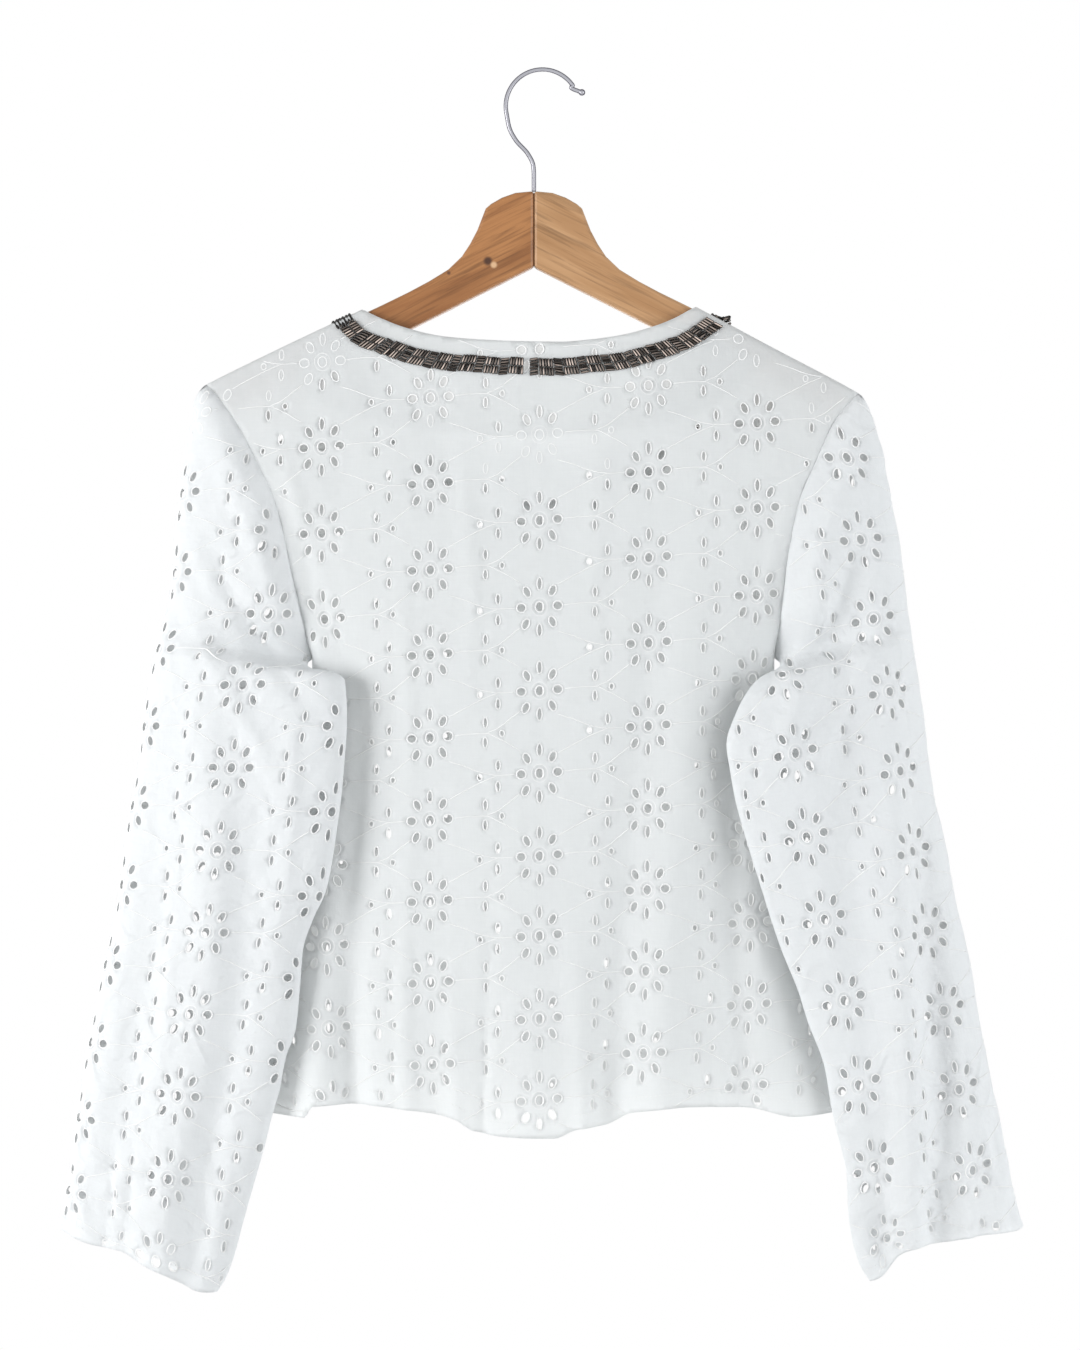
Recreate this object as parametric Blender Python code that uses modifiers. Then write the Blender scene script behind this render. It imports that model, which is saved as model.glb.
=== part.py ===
"""Eyelet jacket on a wooden hanger with a chrome hook, hung as in a product photo taken from behind.

All lengths here are millimetres, and each mesh turns them into metres as it is made. X runs to the
viewer's right, the jacket's back faces -Y, and the origin is where the crown of the hook bears on the rail.
Left and right are the wearer's, which are also the viewer's. "out" is the distance from the middle plane
towards that side's sleeve.
"""

import math
from typing import NamedTuple

import bmesh
import bpy
import numpy as np
from mathutils import Vector
from mathutils.geometry import delaunay_2d_cdt

METRE = 0.001
CLOTH = 1.2
SEAM_GAP = 0.3
# How far each of two edges that meet stands off the surface between them.
EDGE_OFF = 0.25
FACING = 1.0
TRIM = 1.9
BACK, FRONT = -1, 1
LEFT, RIGHT = -1, 1
# Each front's edge stands this far from the middle, so that they nearly meet.
FRONT_EDGE = 1.5
BODY_ROUNDNESS = 2.6
ROW_STEP = 4.0
CURVE_SAMPLES = 240
BODY_SAMPLES = 801
SCAN_SAMPLES = 3001
RING_STEPS = (1.2, 2.8, 5.0, 9.0)
SHOULDER_RINGS = (0.5, 1.6, 4.0, 10.0)
COLUMN_STEP = 17.0
ROW_SPACING = 46.0
# How far grid points stay from a panel's edge.
BODY_MARGIN, SLEEVE_MARGIN = 6.0, 7.0
# Rows are far longer than they are wide, so triangles are picked on a plan squeezed along them.
SQUEEZE = 0.3

BODY = (
    ("z", "left", "right", "back", "front"),
    (
        (-100, 246, 236, 12, 12),
        (-165, 246, 236, 15, 15),
        (-190, 246, 236, 17, 17),
        (-220, 246, 236, 20, 20),
        (-260, 246, 238, 25, 25),
        (-300, 236, 228, 29, 30),
        (-330, 212, 206, 32, 33),
        (-350, 196, 192, 34, 35),
        (-375, 175, 175, 36, 37),
        (-400, 160, 160, 37, 38),
        (-405, 158.5, 159.6, 37, 38),
        (-450, 160, 160, 38, 40),
        (-500, 164, 165, 39, 41),
        (-560, 171, 174, 41, 43),
        (-620, 180, 186, 42, 44),
        (-680, 188, 197, 43, 45),
        (-760, 197, 210, 44, 46),
    ),
)
# The line of the shoulder seams, carried on over the neck.
SHOULDER = (
    ("x", "z"),
    (
        (-250, -226), (-231.5, -216), (-180, -190.6), (-124.5, -164.4), (-60, -134), (0, -108),
        (50, -134.6), (105.9, -162.6), (160, -191.3), (217.7, -222), (240, -236),
    ),
)
# How far the cloth stands off the middle plane at each drop below the shoulder seam, over the hanger's arm.
OVER_ARM = (
    ("drop", "off"),
    ((0, 0.27), (0.5, 3.2), (1.6, 5.8), (4, 8), (10, 9.8), (20, 12), (40, 16), (80, 25), (130, 36), (200, 55)),
)
# How softly the cloth passes from that form to the body's own, and the drop over which it does.
ARM_SOFTNESS, ARM_DROP = 1.6, 12.0
NECK_BACK = (
    (-124.5, -164.4), (-122, -165.8), (-118.5, -167.6), (-110, -171.7), (-94, -178), (-70, -183.7),
    (-47, -186), (-18.6, -187.4), (12, -187.9), (36, -186), (55.4, -183), (75, -177.5), (90, -171.5),
    (99.5, -166.2), (103.5, -163.9), (105.9, -162.6),
)
NECK_FRONT_LEFT = (
    (-124.5, -164.4), (-124.2, -166.9), (-123.6, -171), (-121, -184), (-112, -207), (-98, -230),
    (-79, -251), (-56, -268), (-30, -279), (-FRONT_EDGE, -283),
)
NECK_FRONT_RIGHT = (
    (105.9, -162.6), (106.1, -165.2), (106.4, -169.5), (107, -184), (101, -207), (90, -230),
    (73, -251), (52, -268), (28, -279), (FRONT_EDGE, -283),
)
HEM_BACK = (
    (-162, -717.5), (-156, -710), (-126, -708.5), (-90, -711.5), (-60, -717), (-47, -725), (-22, -729),
    (8, -730), (24, -724), (42, -722), (61, -713), (101, -709.5), (141, -711), (173, -717.5),
)
HEM_SIDE_Z = -716.0
HEM_FRONT_Z = -722.0
ARMHOLE = {
    LEFT: (
        (231.5, -216), (222, -226.5), (212, -240), (203, -255), (194, -273), (185, -292),
        (178, -316), (172, -345), (165, -376), (158.5, -405),
    ),
    RIGHT: (
        (217.7, -222), (209, -231.5), (200, -243), (192.5, -258), (185.5, -274), (178.5, -289),
        (174, -303), (168, -334), (164, -368), (159.6, -404),
    ),
}
# Folds of the body: half width, and a path of x, z and how far the crest stands out (a valley is negative).
BACK_FOLDS = (
    (12, ((-141, -470, 0), (-147, -560, 3.5), (-156, -650, 5.5), (-160, -760, 7))),
    (11, ((-120, -430, 0), (-130, -540, -5), (-131, -640, -8), (-126, -760, -11))),
    (7, ((-62, -600, 0), (-60, -680, 3), (-59, -760, 6))),
    (30, ((-14, -480, 0), (-14, -600, 2.5), (-13, -760, 7))),
    (13, ((80, -300, 0), (70, -430, -3), (55, -580, -5), (43, -760, -8))),
    (14, ((104, -300, 0), (97, -430, 2.5), (85, -580, 4.5), (76, -760, 6.5))),
    (12, ((168, -270, 0), (152, -360, -3), (136, -433, -5), (128, -571, -6), (132, -650, -7), (140, -760, -8))),
    (12, ((-176, -280, 0), (-158, -340, -3), (-140, -400, -4), (-118, -470, 0))),
)
FRONT_FOLDS = (
    (14, ((-138, -430, 0), (-142, -560, 4), (-150, -760, 8))),
    (13, ((-108, -400, 0), (-112, -560, -4), (-114, -760, -8))),
    (16, ((-66, -420, 0), (-68, -600, 3), (-70, -760, 7))),
    (15, ((62, -380, 0), (66, -560, 3), (72, -760, 7))),
    (13, ((106, -420, 0), (110, -580, -4), (116, -760, -8))),
    (14, ((146, -440, 0), (150, -600, 4), (158, -760, 7))),
)


class FoldRow(NamedTuple):
    """A sleeve row below the armhole: where its inner end is, out and off the middle plane, and its outer z."""

    inner_out: float
    inner_z: float
    inner_y: float
    outer_z: float


SLEEVE_FOLD_ROWS = {
    LEFT: (
        (162.5, -408.5, -12, -396), (158.5, -412, -23, -400), (149, -413, -28.5, -404), (140, -415, -33, -409),
        (134.5, -419.5, -36, -414), (133, -444, -38, -438), (136, -491, -38.5, -480), (140, -523, -39, -511),
        (147, -562, -38, -547), (156, -582, -36, -568), (163, -603, -34.5, -588), (165, -627, -34.5, -612),
        (168, -657, -34.5, -640), (175, -677, -33, -658), (179, -698, -32, -678), (184, -715, -30, -693),
        (190, -739, -28, -713), (197, -763, -25, -733), (205, -791, -21, -755), (212, -816, -17, -776),
        (218, -831, -14, -788), (223, -839, -12, -795.4),
    ),
    RIGHT: (
        (164, -408.5, -12, -392), (160, -412.5, -23, -397), (150, -417, -29, -403), (140, -427, -35, -412),
        (132, -441.5, -38, -424), (125, -463, -40.5, -443), (127.6, -482, -40.5, -460),
        (131, -501, -40.5, -478), (137, -523, -40, -499), (149, -562, -39, -537), (162, -601.5, -37, -575),
        (174, -631, -35, -604), (181, -653, -34, -626), (192, -682, -31, -652), (198, -715.5, -29, -682),
        (204, -739, -26, -704), (208, -757, -24, -722), (209, -779, -22, -744), (211.6, -799, -19, -762),
        (218, -821, -15, -782), (224.8, -832, -12, -793.6),
    ),
}
SLEEVE_CAP_ENDS = {
    LEFT: (-219.5, -230, -243, -257, -273, -291, -314, -341, -368, -392),
    RIGHT: (-226, -236, -248, -262, -277, -290, -303, -330, -358, -388),
}
SLEEVE_OUTER = {
    LEFT: (
        (-216, 231.5), (-219.5, 235.5), (-230, 241), (-243, 242.8), (-257, 243.8), (-273, 246.5), (-297, 250),
        (-364.5, 258), (-420, 270.6), (-453, 275.4), (-494.5, 281), (-523, 286), (-560, 290.4), (-640.5, 307),
        (-670.5, 312.6), (-702, 318), (-736, 322), (-771.5, 327.6), (-795.4, 332.4),
    ),
    RIGHT: (
        (-222, 217.6), (-226, 221.5), (-237, 227), (-257, 232.6), (-280.5, 236.6), (-317.5, 243.5),
        (-351, 249.6), (-393, 254.5), (-430, 260), (-465, 264.6), (-503, 270), (-536, 277), (-572, 284),
        (-607.5, 292.6), (-649, 299.7), (-680, 305.5), (-726, 314.6), (-759, 321), (-783, 327), (-793.6, 330.4),
    ),
}
# Below the armhole: how far a row bulges, and where its outer end lies.
SLEEVE_BODY = (("z", "bulge", "outer_y"), ((-840, 17, -10), (-760, 19, -9.7), (-600, 22, -9), (-410, 20.5, -6)))
# The bulge of the sleeve head: everywhere, more at the shoulder's tip, and more at the underarm.
CAP_BULGE, CAP_TIP_BULGE, CAP_LOW_BULGE = 1.5, 2.5, 19.0
CAP_ROUNDNESS = 2.6
CAP_DROP = 6.0
# Room that the thick cloth needs past the seam gap at the tip of the shoulder and in the underarm.
TIP_ROOM, TIP_OFF = 0.4, 0.2
UNDERARM_ROOM, UNDERARM_OFF, FOLD_OFF = 3.4, 0.5, 0.6
# The sleeve's front half tucks in behind its outer fold over this share of its width.
TUCK_SHARE = 0.55
FOLD_RADIUS = 3.0
# The cuff line: the share of the way from the outer end to the inner end, and the height there.
CUFF = {
    LEFT: (
        (0, -795.4), (0.115, -801.5), (0.24, -806), (0.405, -809.5), (0.515, -816), (0.67, -824.5),
        (0.79, -832), (0.9, -838), (1, -839),
    ),
    RIGHT: (
        (0, -793.6), (0.05, -797), (0.25, -798.5), (0.5, -803), (0.74, -807), (0.82, -812),
        (0.92, -827), (1, -832),
    ),
}
CUFF_REACH = 70.0
SLEEVE_FOLDS = {
    (LEFT, BACK): (
        (11, ((236, -226, 0), (214, -265, 3.5), (190, -308, 4), (176, -345, 0))),
        (15, ((243, -350, 0), (232, -450, 4), (225, -560, 5), (236, -680, 4), (262, -790, 5), (266, -845, 5))),
        (14, ((200, -420, 0), (196, -520, -4), (203, -620, -4), (222, -730, -5), (240, -845, -4))),
        (13, ((262, -420, 0), (266, -520, -3.5), (278, -640, -4), (296, -760, -4), (300, -845, -3))),
    ),
    (LEFT, FRONT): (
        (16, ((230, -380, 0), (232, -520, 5), (250, -700, 5), (270, -845, 5))),
        (14, ((256, -420, 0), (262, -560, -4), (282, -720, -4), (300, -845, -4))),
    ),
    (RIGHT, BACK): (
        (13, ((190, -320, 0), (180, -380, 5), (166, -450, 6), (158, -500, 0))),
        (13, ((236, -310, 0), (240, -420, 4), (243, -560, 5), (245, -700, 6), (251, -800, 7), (252, -845, 7))),
        (12, ((258, -400, 0), (262, -520, -5), (266, -640, -6), (270, -760, -6), (272, -845, -5))),
        (12, (
            (214, -300, 0), (206, -400, -4), (204, -500, -4), (216, -620, -4), (228, -740, -5), (233, -845, -7),
        )),
    ),
    (RIGHT, FRONT): (
        (16, ((226, -380, 0), (230, -520, 5), (252, -700, 5), (270, -845, 5))),
        (14, ((252, -420, 0), (258, -560, -4), (280, -720, -4), (300, -845, -4))),
    ),
}

# The broderie pattern: flowers in columns, each column set lower than the one to its left.
COLUMN_PITCH = 74.5
COLUMN_DROP = 24.2
ROW_PITCH = 56.5
CENTRE_COLUMN_X = -2.0
CENTRE_COLUMN_Z = (-193, -252, -311, -370, -427, -483, -539, -593, -649, -704, -760)
# The fronts were cut elsewhere from the cloth, so their flowers lie between those of the back.
FRONT_SHIFT_U, FRONT_SHIFT_V = 34.0, 27.0
# A flower on the back of each sleeve that its whole pattern is laid from: out, z.
SLEEVE_FLOWER = {LEFT: (203, -423), RIGHT: (171, -469)}


class Eyelet(NamedTuple):
    """An eyelet's place in its flower, across and up, its size and its number of sides."""

    across: float
    up: float
    wide: float
    tall: float
    sides: int


CENTRE_EYELET = Eyelet(0, 0, 5.0, 6.2, 6)
SIDE_EYELETS = (Eyelet(12.4, 1.1, 5.7, 5.2, 4), Eyelet(-12.4, -0.7, 5.7, 5.2, 4))
# How far an eyelet's middle stays from the panel's edge and from inner lines, and grid points from its rim.
EYELET_MARGIN, EYELET_CLEAR, POINT_CLEAR = 9.0, 6.5, 4.6

TRIM_NEAR, TRIM_FAR = 11.5, 23.5
TRIM_ENDS = {LEFT: (-132.0, -145.0), RIGHT: (115.5, 128.5)}
FACING_LOWER = (
    (-168, -200), (-163, -219), (-142, -234), (-105, -245), (-55, -251), (-5, -253), (45, -250),
    (88, -242), (122, -229), (140, -213), (145, -198),
)

HANGER_X = -5.9
HANGER_THICK = 12.0
HANGER_ROUND = 2.0
HANGER_TOP = (
    (0, -83), (12.8, -84.2), (22, -87.5), (29.5, -91.8), (33.2, -95), (35.3, -100.5), (39, -110),
    (44, -119.5), (49.6, -128), (59, -137), (72, -145), (86, -152.5), (106.5, -162.5),
)
# Where the top edge of each arm ends, and the rounded tip from there as shares of the arm's height.
HANGER_END = {LEFT: (212, -211.5), RIGHT: (208, -216.5)}
HANGER_TIP = ((0.23, -0.17), (0.32, -0.43), (0.26, -0.74), (0.06, -0.95), (-0.25, -1.0))
HANGER_BOTTOM_Z, HANGER_BOTTOM_SLOPE = -135.2, -0.505
# How far inside the end of the top edge the tip's height is taken, and its lower edge starts.
HANGER_TIP_SET, HANGER_TIP_START = 6.0, 14.0
HOOK_RADIUS = 1.5
HOOK_CENTRE = (0, -23.8)
HOOK_BEND = 25.3
HOOK_FROM, HOOK_TO, HOOK_POINTS = 208, 34, 22
HOOK_PATH = ((-23.9, -38), (-18.5, -47.1), (-9.9, -57), (-6.3, -65), (-5.9, -72), (-5.9, -82.7))
HOOK_NIB = ((19.7, -10.8), (21.6, -12.2), (23.6, -13), (25.5, -13.7))
BALL_RADIUS = 2.3
BALL_FROM, BALL_TO, BALL_POINTS = -60, 85, 6
WIRE_LEAST = 0.12


def between(table: tuple, key: np.ndarray | float, column: str) -> np.ndarray:
    """Reads a column of a table whose first column is the key, by straight lines between the rows."""
    names, rows = table
    rows = np.array(sorted(rows), float)
    return np.interp(key, rows[:, 0], rows[:, names.index(column)])


def fold_height(folds: tuple, x: np.ndarray, z: np.ndarray) -> np.ndarray:
    """How far all the folds together lift the cloth at points x, z."""
    total = np.zeros(np.broadcast(x, z).shape)
    for half_width, path in folds:
        path = np.array(sorted(path, key=lambda point: point[1]), float)
        centre = np.interp(z, path[:, 1], path[:, 0])
        rise = np.interp(z, path[:, 1], path[:, 2], right=0)
        total = total + rise * np.exp(-(((x - centre) / half_width) ** 2))
    return total


class Sheet:
    """A hung cloth surface. Flat position (u, v) is the distance along a row from its origin, and the row."""

    def __init__(self, rows: np.ndarray, curves: list, origins: list):
        """rows: v of each row. curves: its points in space. origins: the index of the point where u is 0."""
        self.rows = rows
        self.share = np.linspace(0, 1, CURVE_SAMPLES)
        self.lengths = np.zeros((len(rows), 2))
        self.grid = np.zeros((len(rows), 2, CURVE_SAMPLES, 3))
        for index, (curve, origin) in enumerate(zip(curves, origins)):
            for half, part in enumerate((curve[origin::-1], curve[origin:])):
                along = np.concatenate([[0], np.cumsum(np.linalg.norm(np.diff(part, axis=0), axis=1))])
                self.lengths[index, half] = along[-1]
                for axis in range(3):
                    self.grid[index, half, :, axis] = np.interp(self.share * along[-1], along, part[:, axis])

    def length(self, v: np.ndarray, half: int) -> np.ndarray:
        """The length of the row at v, before (0) or after (1) its origin."""
        return np.interp(v, self.rows, self.lengths[:, half])

    def at(self, u: np.ndarray, v: np.ndarray) -> np.ndarray:
        """The points in space at flat positions."""
        u, v = np.broadcast_arrays(np.asarray(u, float), np.asarray(v, float))
        half = (u >= 0).astype(int)
        length = np.where(half == 1, self.length(v, 1), self.length(v, 0))
        across = np.clip(np.abs(u) / np.maximum(length, 1e-6), 0, 1) * (CURVE_SAMPLES - 1)
        down = np.clip(np.interp(v, self.rows, np.arange(len(self.rows))), 0, len(self.rows) - 1.000001)
        i, j = down.astype(int), np.minimum(across.astype(int), CURVE_SAMPLES - 2)
        a, b = (down - i)[..., None], (across - j)[..., None]
        upper = self.grid[i, half, j] * (1 - b) + self.grid[i, half, j + 1] * b
        lower = self.grid[i + 1, half, j] * (1 - b) + self.grid[i + 1, half, j + 1] * b
        return upper * (1 - a) + lower * a

    def flat(self, x: float, z: float, v_range: tuple) -> tuple:
        """The flat position of the surface point that is seen at x, z."""
        low, high = v_range
        best = None
        for _ in range(4):
            vs = np.linspace(low, high, 61)
            us = np.linspace(-1, 1, 241)[None, :]
            left, right = self.length(vs, 0)[:, None], self.length(vs, 1)[:, None]
            u = np.where(us < 0, us * left, us * right)
            seen = self.at(u, np.repeat(vs[:, None], 241, axis=1))
            miss = (seen[..., 0] - x) ** 2 + (seen[..., 2] - z) ** 2
            row = int(np.argmin(miss.min(axis=1)))
            best = vs[row]
            low, high = best - (high - low) / 25, best + (high - low) / 25
        u = np.linspace(-self.length(best, 0), self.length(best, 1), 4001)
        seen = self.at(u, np.full(4001, best))
        return float(u[np.argmin(np.abs(seen[:, 0] - x))]), float(best)


def body_sheet(side: int) -> Sheet:
    """The back or front of the body, and the surface that carries on past the armholes."""
    rows = np.arange(100, 748, ROW_STEP)
    angle = np.linspace(-math.pi / 2, math.pi / 2, BODY_SAMPLES)
    power = 2 / BODY_ROUNDNESS
    folds = BACK_FOLDS if side == BACK else FRONT_FOLDS
    curves = []
    for v in rows:
        width = np.where(angle < 0, between(BODY, -v, "left"), between(BODY, -v, "right"))
        depth = between(BODY, -v, "back" if side == BACK else "front")
        reach = np.abs(np.sin(angle)) ** power * np.sign(angle)
        x = width * reach
        y = depth * np.abs(np.cos(angle)) ** power
        y = y + fold_height(folds, x, -v) * (1 - np.abs(reach) ** 6)
        curves.append(np.stack([x, side * y, np.full(BODY_SAMPLES, -v)], axis=1))
    return Sheet(rows, curves, [BODY_SAMPLES // 2] * len(rows))


def over_arm(points: np.ndarray, side: int) -> np.ndarray:
    """Brings body points near the shoulder seam in over the hanger's arm."""
    drop = between(SHOULDER, points[..., 0], "z") - points[..., 2]
    off = between(OVER_ARM, np.maximum(drop, 0), "off")
    free = np.abs(points[..., 1])
    soft = ARM_SOFTNESS * np.clip(drop / ARM_DROP, 0, 1)
    near = np.minimum(off, free) - soft * np.log1p(np.exp(-np.abs(off - free) / ARM_SOFTNESS))
    moved = points.copy()
    moved[..., 1] = side * np.maximum(near, EDGE_OFF)
    return moved


def seam_off(hand: int, side: int) -> np.ndarray:
    """Points of the armhole seam in space, from the shoulder down."""
    sheet = BODY_SHEETS[side]
    points = []
    for out, z in ARMHOLE[hand]:
        half = 1 if hand == RIGHT else 0
        row = np.linspace(0, sheet.length(-z, half), SCAN_SAMPLES)
        seen = over_arm(sheet.at(row * hand, np.full(SCAN_SAMPLES, -z)), side)
        pick = int(np.argmin(np.abs(np.abs(seen[:, 0]) - out)))
        points.append(seen[pick])
    points[-1][1] = side * EDGE_OFF
    return np.array(points)


def row_station(hand: int, side: int) -> list:
    """Each sleeve row as (inner end, outer end, share of cap form, bulge, share of low form)."""
    seam = seam_off(hand, side)
    outer = np.array(sorted(SLEEVE_OUTER[hand]), float)
    rows = []
    count = len(seam)
    for index, (point, b_z) in enumerate(zip(seam, SLEEVE_CAP_ENDS[hand])):
        down = index / (count - 1)
        gap = SEAM_GAP + UNDERARM_ROOM * max(0, down - 0.5) + (TIP_ROOM if index == 0 else 0)
        tip = TIP_OFF if index == 0 else 0
        end = (hand * np.interp(b_z, outer[:, 0], outer[:, 1]), side * (EDGE_OFF + tip) - CAP_DROP * down, b_z)
        apart = side * (UNDERARM_OFF if index == count - 1 else tip)
        start = (point[0] + hand * gap, point[1] + apart, point[2])
        bulge = CAP_BULGE + CAP_TIP_BULGE * max(0, 1 - 5 * down) + CAP_LOW_BULGE * down**3
        rows.append((start, end, 1 - down**3, bulge, 0.0))
    for index, row in enumerate(FoldRow(*values) for values in SLEEVE_FOLD_ROWS[hand]):
        low = min(1, (index + 0.5) / 4)
        bulge = float(between(SLEEVE_BODY, row.inner_z, "bulge"))
        outer_y = float(between(SLEEVE_BODY, row.inner_z, "outer_y"))
        off = EDGE_OFF + (FOLD_OFF if index < 3 else 0)
        start = (hand * row.inner_out, row.inner_y + side * off, row.inner_z)
        end_x = hand * np.interp(row.outer_z, outer[:, 0], outer[:, 1])
        rows.append((start, (end_x, outer_y + side * EDGE_OFF, row.outer_z), 0.0, bulge, low))
    return rows


def sleeve_sheet(hand: int, side: int) -> Sheet:
    """The back or front of a sleeve: u runs inwards from its outer fold, v down it."""
    stations = row_station(hand, side)
    starts = np.array([station[0] for station in stations])
    ends = np.array([station[1] for station in stations])
    middle = (starts + ends) / 2
    along = np.concatenate([[0], np.cumsum(np.linalg.norm(np.diff(middle[:, [0, 2]], axis=0), axis=1))])
    form = np.array([station[2:] for station in stations], float)
    rows = np.unique(np.concatenate([np.arange(0, along[-1], ROW_STEP), along]))
    t = 0.5 - 0.5 * np.cos(np.linspace(0, math.pi, 401))
    cuff = np.array(CUFF[hand])
    curves = []
    for v in rows:
        a = np.array([np.interp(v, along, starts[:, axis]) for axis in range(3)])
        b = np.array([np.interp(v, along, ends[:, axis]) for axis in range(3)])
        cap, bulge, low = (float(np.interp(v, along, form[:, column])) for column in range(3))
        x = b[0] + (a[0] - b[0]) * t
        z = b[2] + (a[2] - b[2]) * t
        near_cuff = np.clip(1 - (along[-1] - v) / CUFF_REACH, 0, 1) ** 2
        line = ends[-1][2] + (starts[-1][2] - ends[-1][2]) * t
        z = z + near_cuff * (np.interp(t, cuff[:, 0], cuff[:, 1]) - line)
        ease = cap * np.sqrt(1 - (1 - t) ** CAP_ROUNDNESS) + (1 - cap) * t
        lens = np.sqrt(np.maximum(4 * t * (1 - t), 0))
        y = b[1] + (a[1] - b[1]) * ease + side * bulge * lens
        if side == FRONT and low > 0:
            inward = 1 - t
            turn = np.clip(inward / TUCK_SHARE, 0, 1)
            turn = turn * turn * (3 - 2 * turn)
            width = np.hypot(a[0] - b[0], a[2] - b[2])
            nip = np.sqrt(1 - (1 - np.clip(inward * width / FOLD_RADIUS, 0, 1)) ** 2)
            tucked = b[1] + (a[1] - b[1]) * (1 - turn) + FOLD_RADIUS * nip * (1 - turn)
            tucked = tucked + bulge * turn * np.sqrt(np.maximum(1 - inward**2.4, 0))
            y = y * (1 - low) + tucked * low
        lift = fold_height(SLEEVE_FOLDS[hand, side], np.abs(x), z) * np.minimum(1, 5 * t * (1 - t)) ** 1.5
        curves.append(np.stack([x, y + side * lift, z], axis=1))
    return Sheet(rows, curves, [0] * len(rows))


def inside(points: np.ndarray, polygon: np.ndarray) -> np.ndarray:
    """Which of the flat points lie in a polygon."""
    x, y = points[:, 0], points[:, 1]
    found = np.zeros(len(points), bool)
    for (x1, y1), (x2, y2) in zip(polygon, np.roll(polygon, -1, axis=0)):
        crosses = (y1 > y) != (y2 > y)
        with np.errstate(divide="ignore", invalid="ignore"):
            meets = (x2 - x1) * (y - y1) / (y2 - y1) + x1
        found ^= crosses & (x < meets)
    return found


def to_outline(points: np.ndarray, polygon: np.ndarray) -> np.ndarray:
    """The distance of flat points from a polygon's edges."""
    least = np.full(len(points), np.inf)
    for start, end in zip(polygon, np.roll(polygon, -1, axis=0)):
        run = end - start
        share = np.clip(((points - start) @ run) / max(run @ run, 1e-9), 0, 1)
        least = np.minimum(least, np.linalg.norm(points - start - share[:, None] * run, axis=1))
    return least


class Plan:
    """A flat cut piece: its outline, lines to keep, inner points and eyelets, made into triangles."""

    def __init__(self, outline: list):
        self.outline = np.array(outline, float)
        self.lines: list = []
        self.points: list = []
        self.eyelets: list = []

    def keep(self, line: list) -> None:
        """Adds a line that triangles mustn't cross, such as a ring beside a fold."""
        self.lines.append(np.array(line, float))

    def fill(self, grid: np.ndarray, margin: float) -> None:
        """Adds the grid points that are well inside."""
        grid = grid[inside(grid, self.outline)]
        self.points += list(grid[to_outline(grid, self.outline) > margin])

    def cut(self, flowers: np.ndarray, eyelet: Eyelet, clear_of: list, mirror: int = 1) -> None:
        """Adds one eyelet of each flower where it is inside and clear of the lines given.

        mirror is -1 where u falls to the viewer's right.
        """
        centres = flowers + (mirror * eyelet.across, -eyelet.up)
        centres = centres[inside(centres, self.outline)]
        centres = centres[to_outline(centres, self.outline) > EYELET_MARGIN]
        for line in clear_of:
            line = np.array(line, float)
            centres = centres[to_outline(centres, np.vstack([line, line[::-1]])) > EYELET_CLEAR]
        turn = np.linspace(0, 2 * math.pi, eyelet.sides, endpoint=False)
        ring = np.stack([np.sin(turn) * eyelet.wide / 2, np.cos(turn) * eyelet.tall / 2], axis=1)
        self.eyelets += [centre + ring for centre in centres]
        if len(centres):
            points = np.array(self.points)
            near = np.min(np.linalg.norm(points[:, None] - centres[None], axis=2), axis=1)
            self.points = list(points[near > POINT_CLEAR + eyelet.wide / 2])

    def triangles(self) -> tuple:
        """(flat points, triangles, which triangles are in an eyelet)."""
        points, edges = [], []
        loops = [(loop, True) for loop in (self.outline, *self.eyelets)]
        for loop, closed in [*loops, *((line, False) for line in self.lines)]:
            first = len(points)
            points += [tuple(point) for point in loop]
            edges += [(first + i, first + i + 1) for i in range(len(loop) - 1)]
            if closed:
                edges.append((first + len(loop) - 1, first))
        points += [tuple(point) for point in self.points]
        squeezed = [Vector((u, v * SQUEEZE)) for u, v in points]
        found, _, faces, *_ = delaunay_2d_cdt(squeezed, edges, [], 0, 1e-4)
        flat = np.array([(point[0], point[1] / SQUEEZE) for point in found])
        faces = np.array([tuple(face) for face in faces])
        centres = flat[faces].mean(axis=1)
        keep = inside(centres, self.outline)
        sides = flat[faces]
        spans = sides[:, 1:] - sides[:, :1]
        area = np.abs(spans[:, 0, 0] * spans[:, 1, 1] - spans[:, 0, 1] * spans[:, 1, 0]) / 2
        keep &= area > 1e-4
        faces, centres = faces[keep], centres[keep]
        in_eyelet = np.zeros(len(faces), bool)
        for ring in self.eyelets:
            in_eyelet |= inside(centres, ring)
        return flat, faces, in_eyelet


def material(name: str, colour: tuple, roughness: float, metallic: float = 0.0):
    """A plain material."""
    made = bpy.data.materials.new(name)
    made.use_nodes = True
    shader = made.node_tree.nodes["Principled BSDF"]
    shader.inputs["Base Color"].default_value = (*colour, 1)
    shader.inputs["Roughness"].default_value = roughness
    shader.inputs["Metallic"].default_value = metallic
    return made


def place(obj, finish: tuple) -> None:
    """Puts an object in the jacket's collection, with its own material."""
    obj.data.materials.append(material(f"{obj.name}_material", *finish))
    JACKET.objects.link(obj)


def cloth(name: str, points: np.ndarray, faces: np.ndarray, thick: float, finish: tuple):
    """An open surface of triangles, thickened evenly to both sides."""
    used, index = np.unique(faces, return_inverse=True)
    mesh = bpy.data.meshes.new(name)
    mesh.from_pydata((points[used] * METRE).tolist(), [], index.reshape(faces.shape).tolist())
    work = bmesh.new()
    work.from_mesh(mesh)
    bmesh.ops.recalc_face_normals(work, faces=work.faces)
    work.to_mesh(mesh)
    work.free()
    obj = bpy.data.objects.new(name, mesh)
    place(obj, finish)
    wall = obj.modifiers.new("Solidify", "SOLIDIFY")
    wall.thickness = thick * METRE
    wall.offset = 0
    return obj


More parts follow.
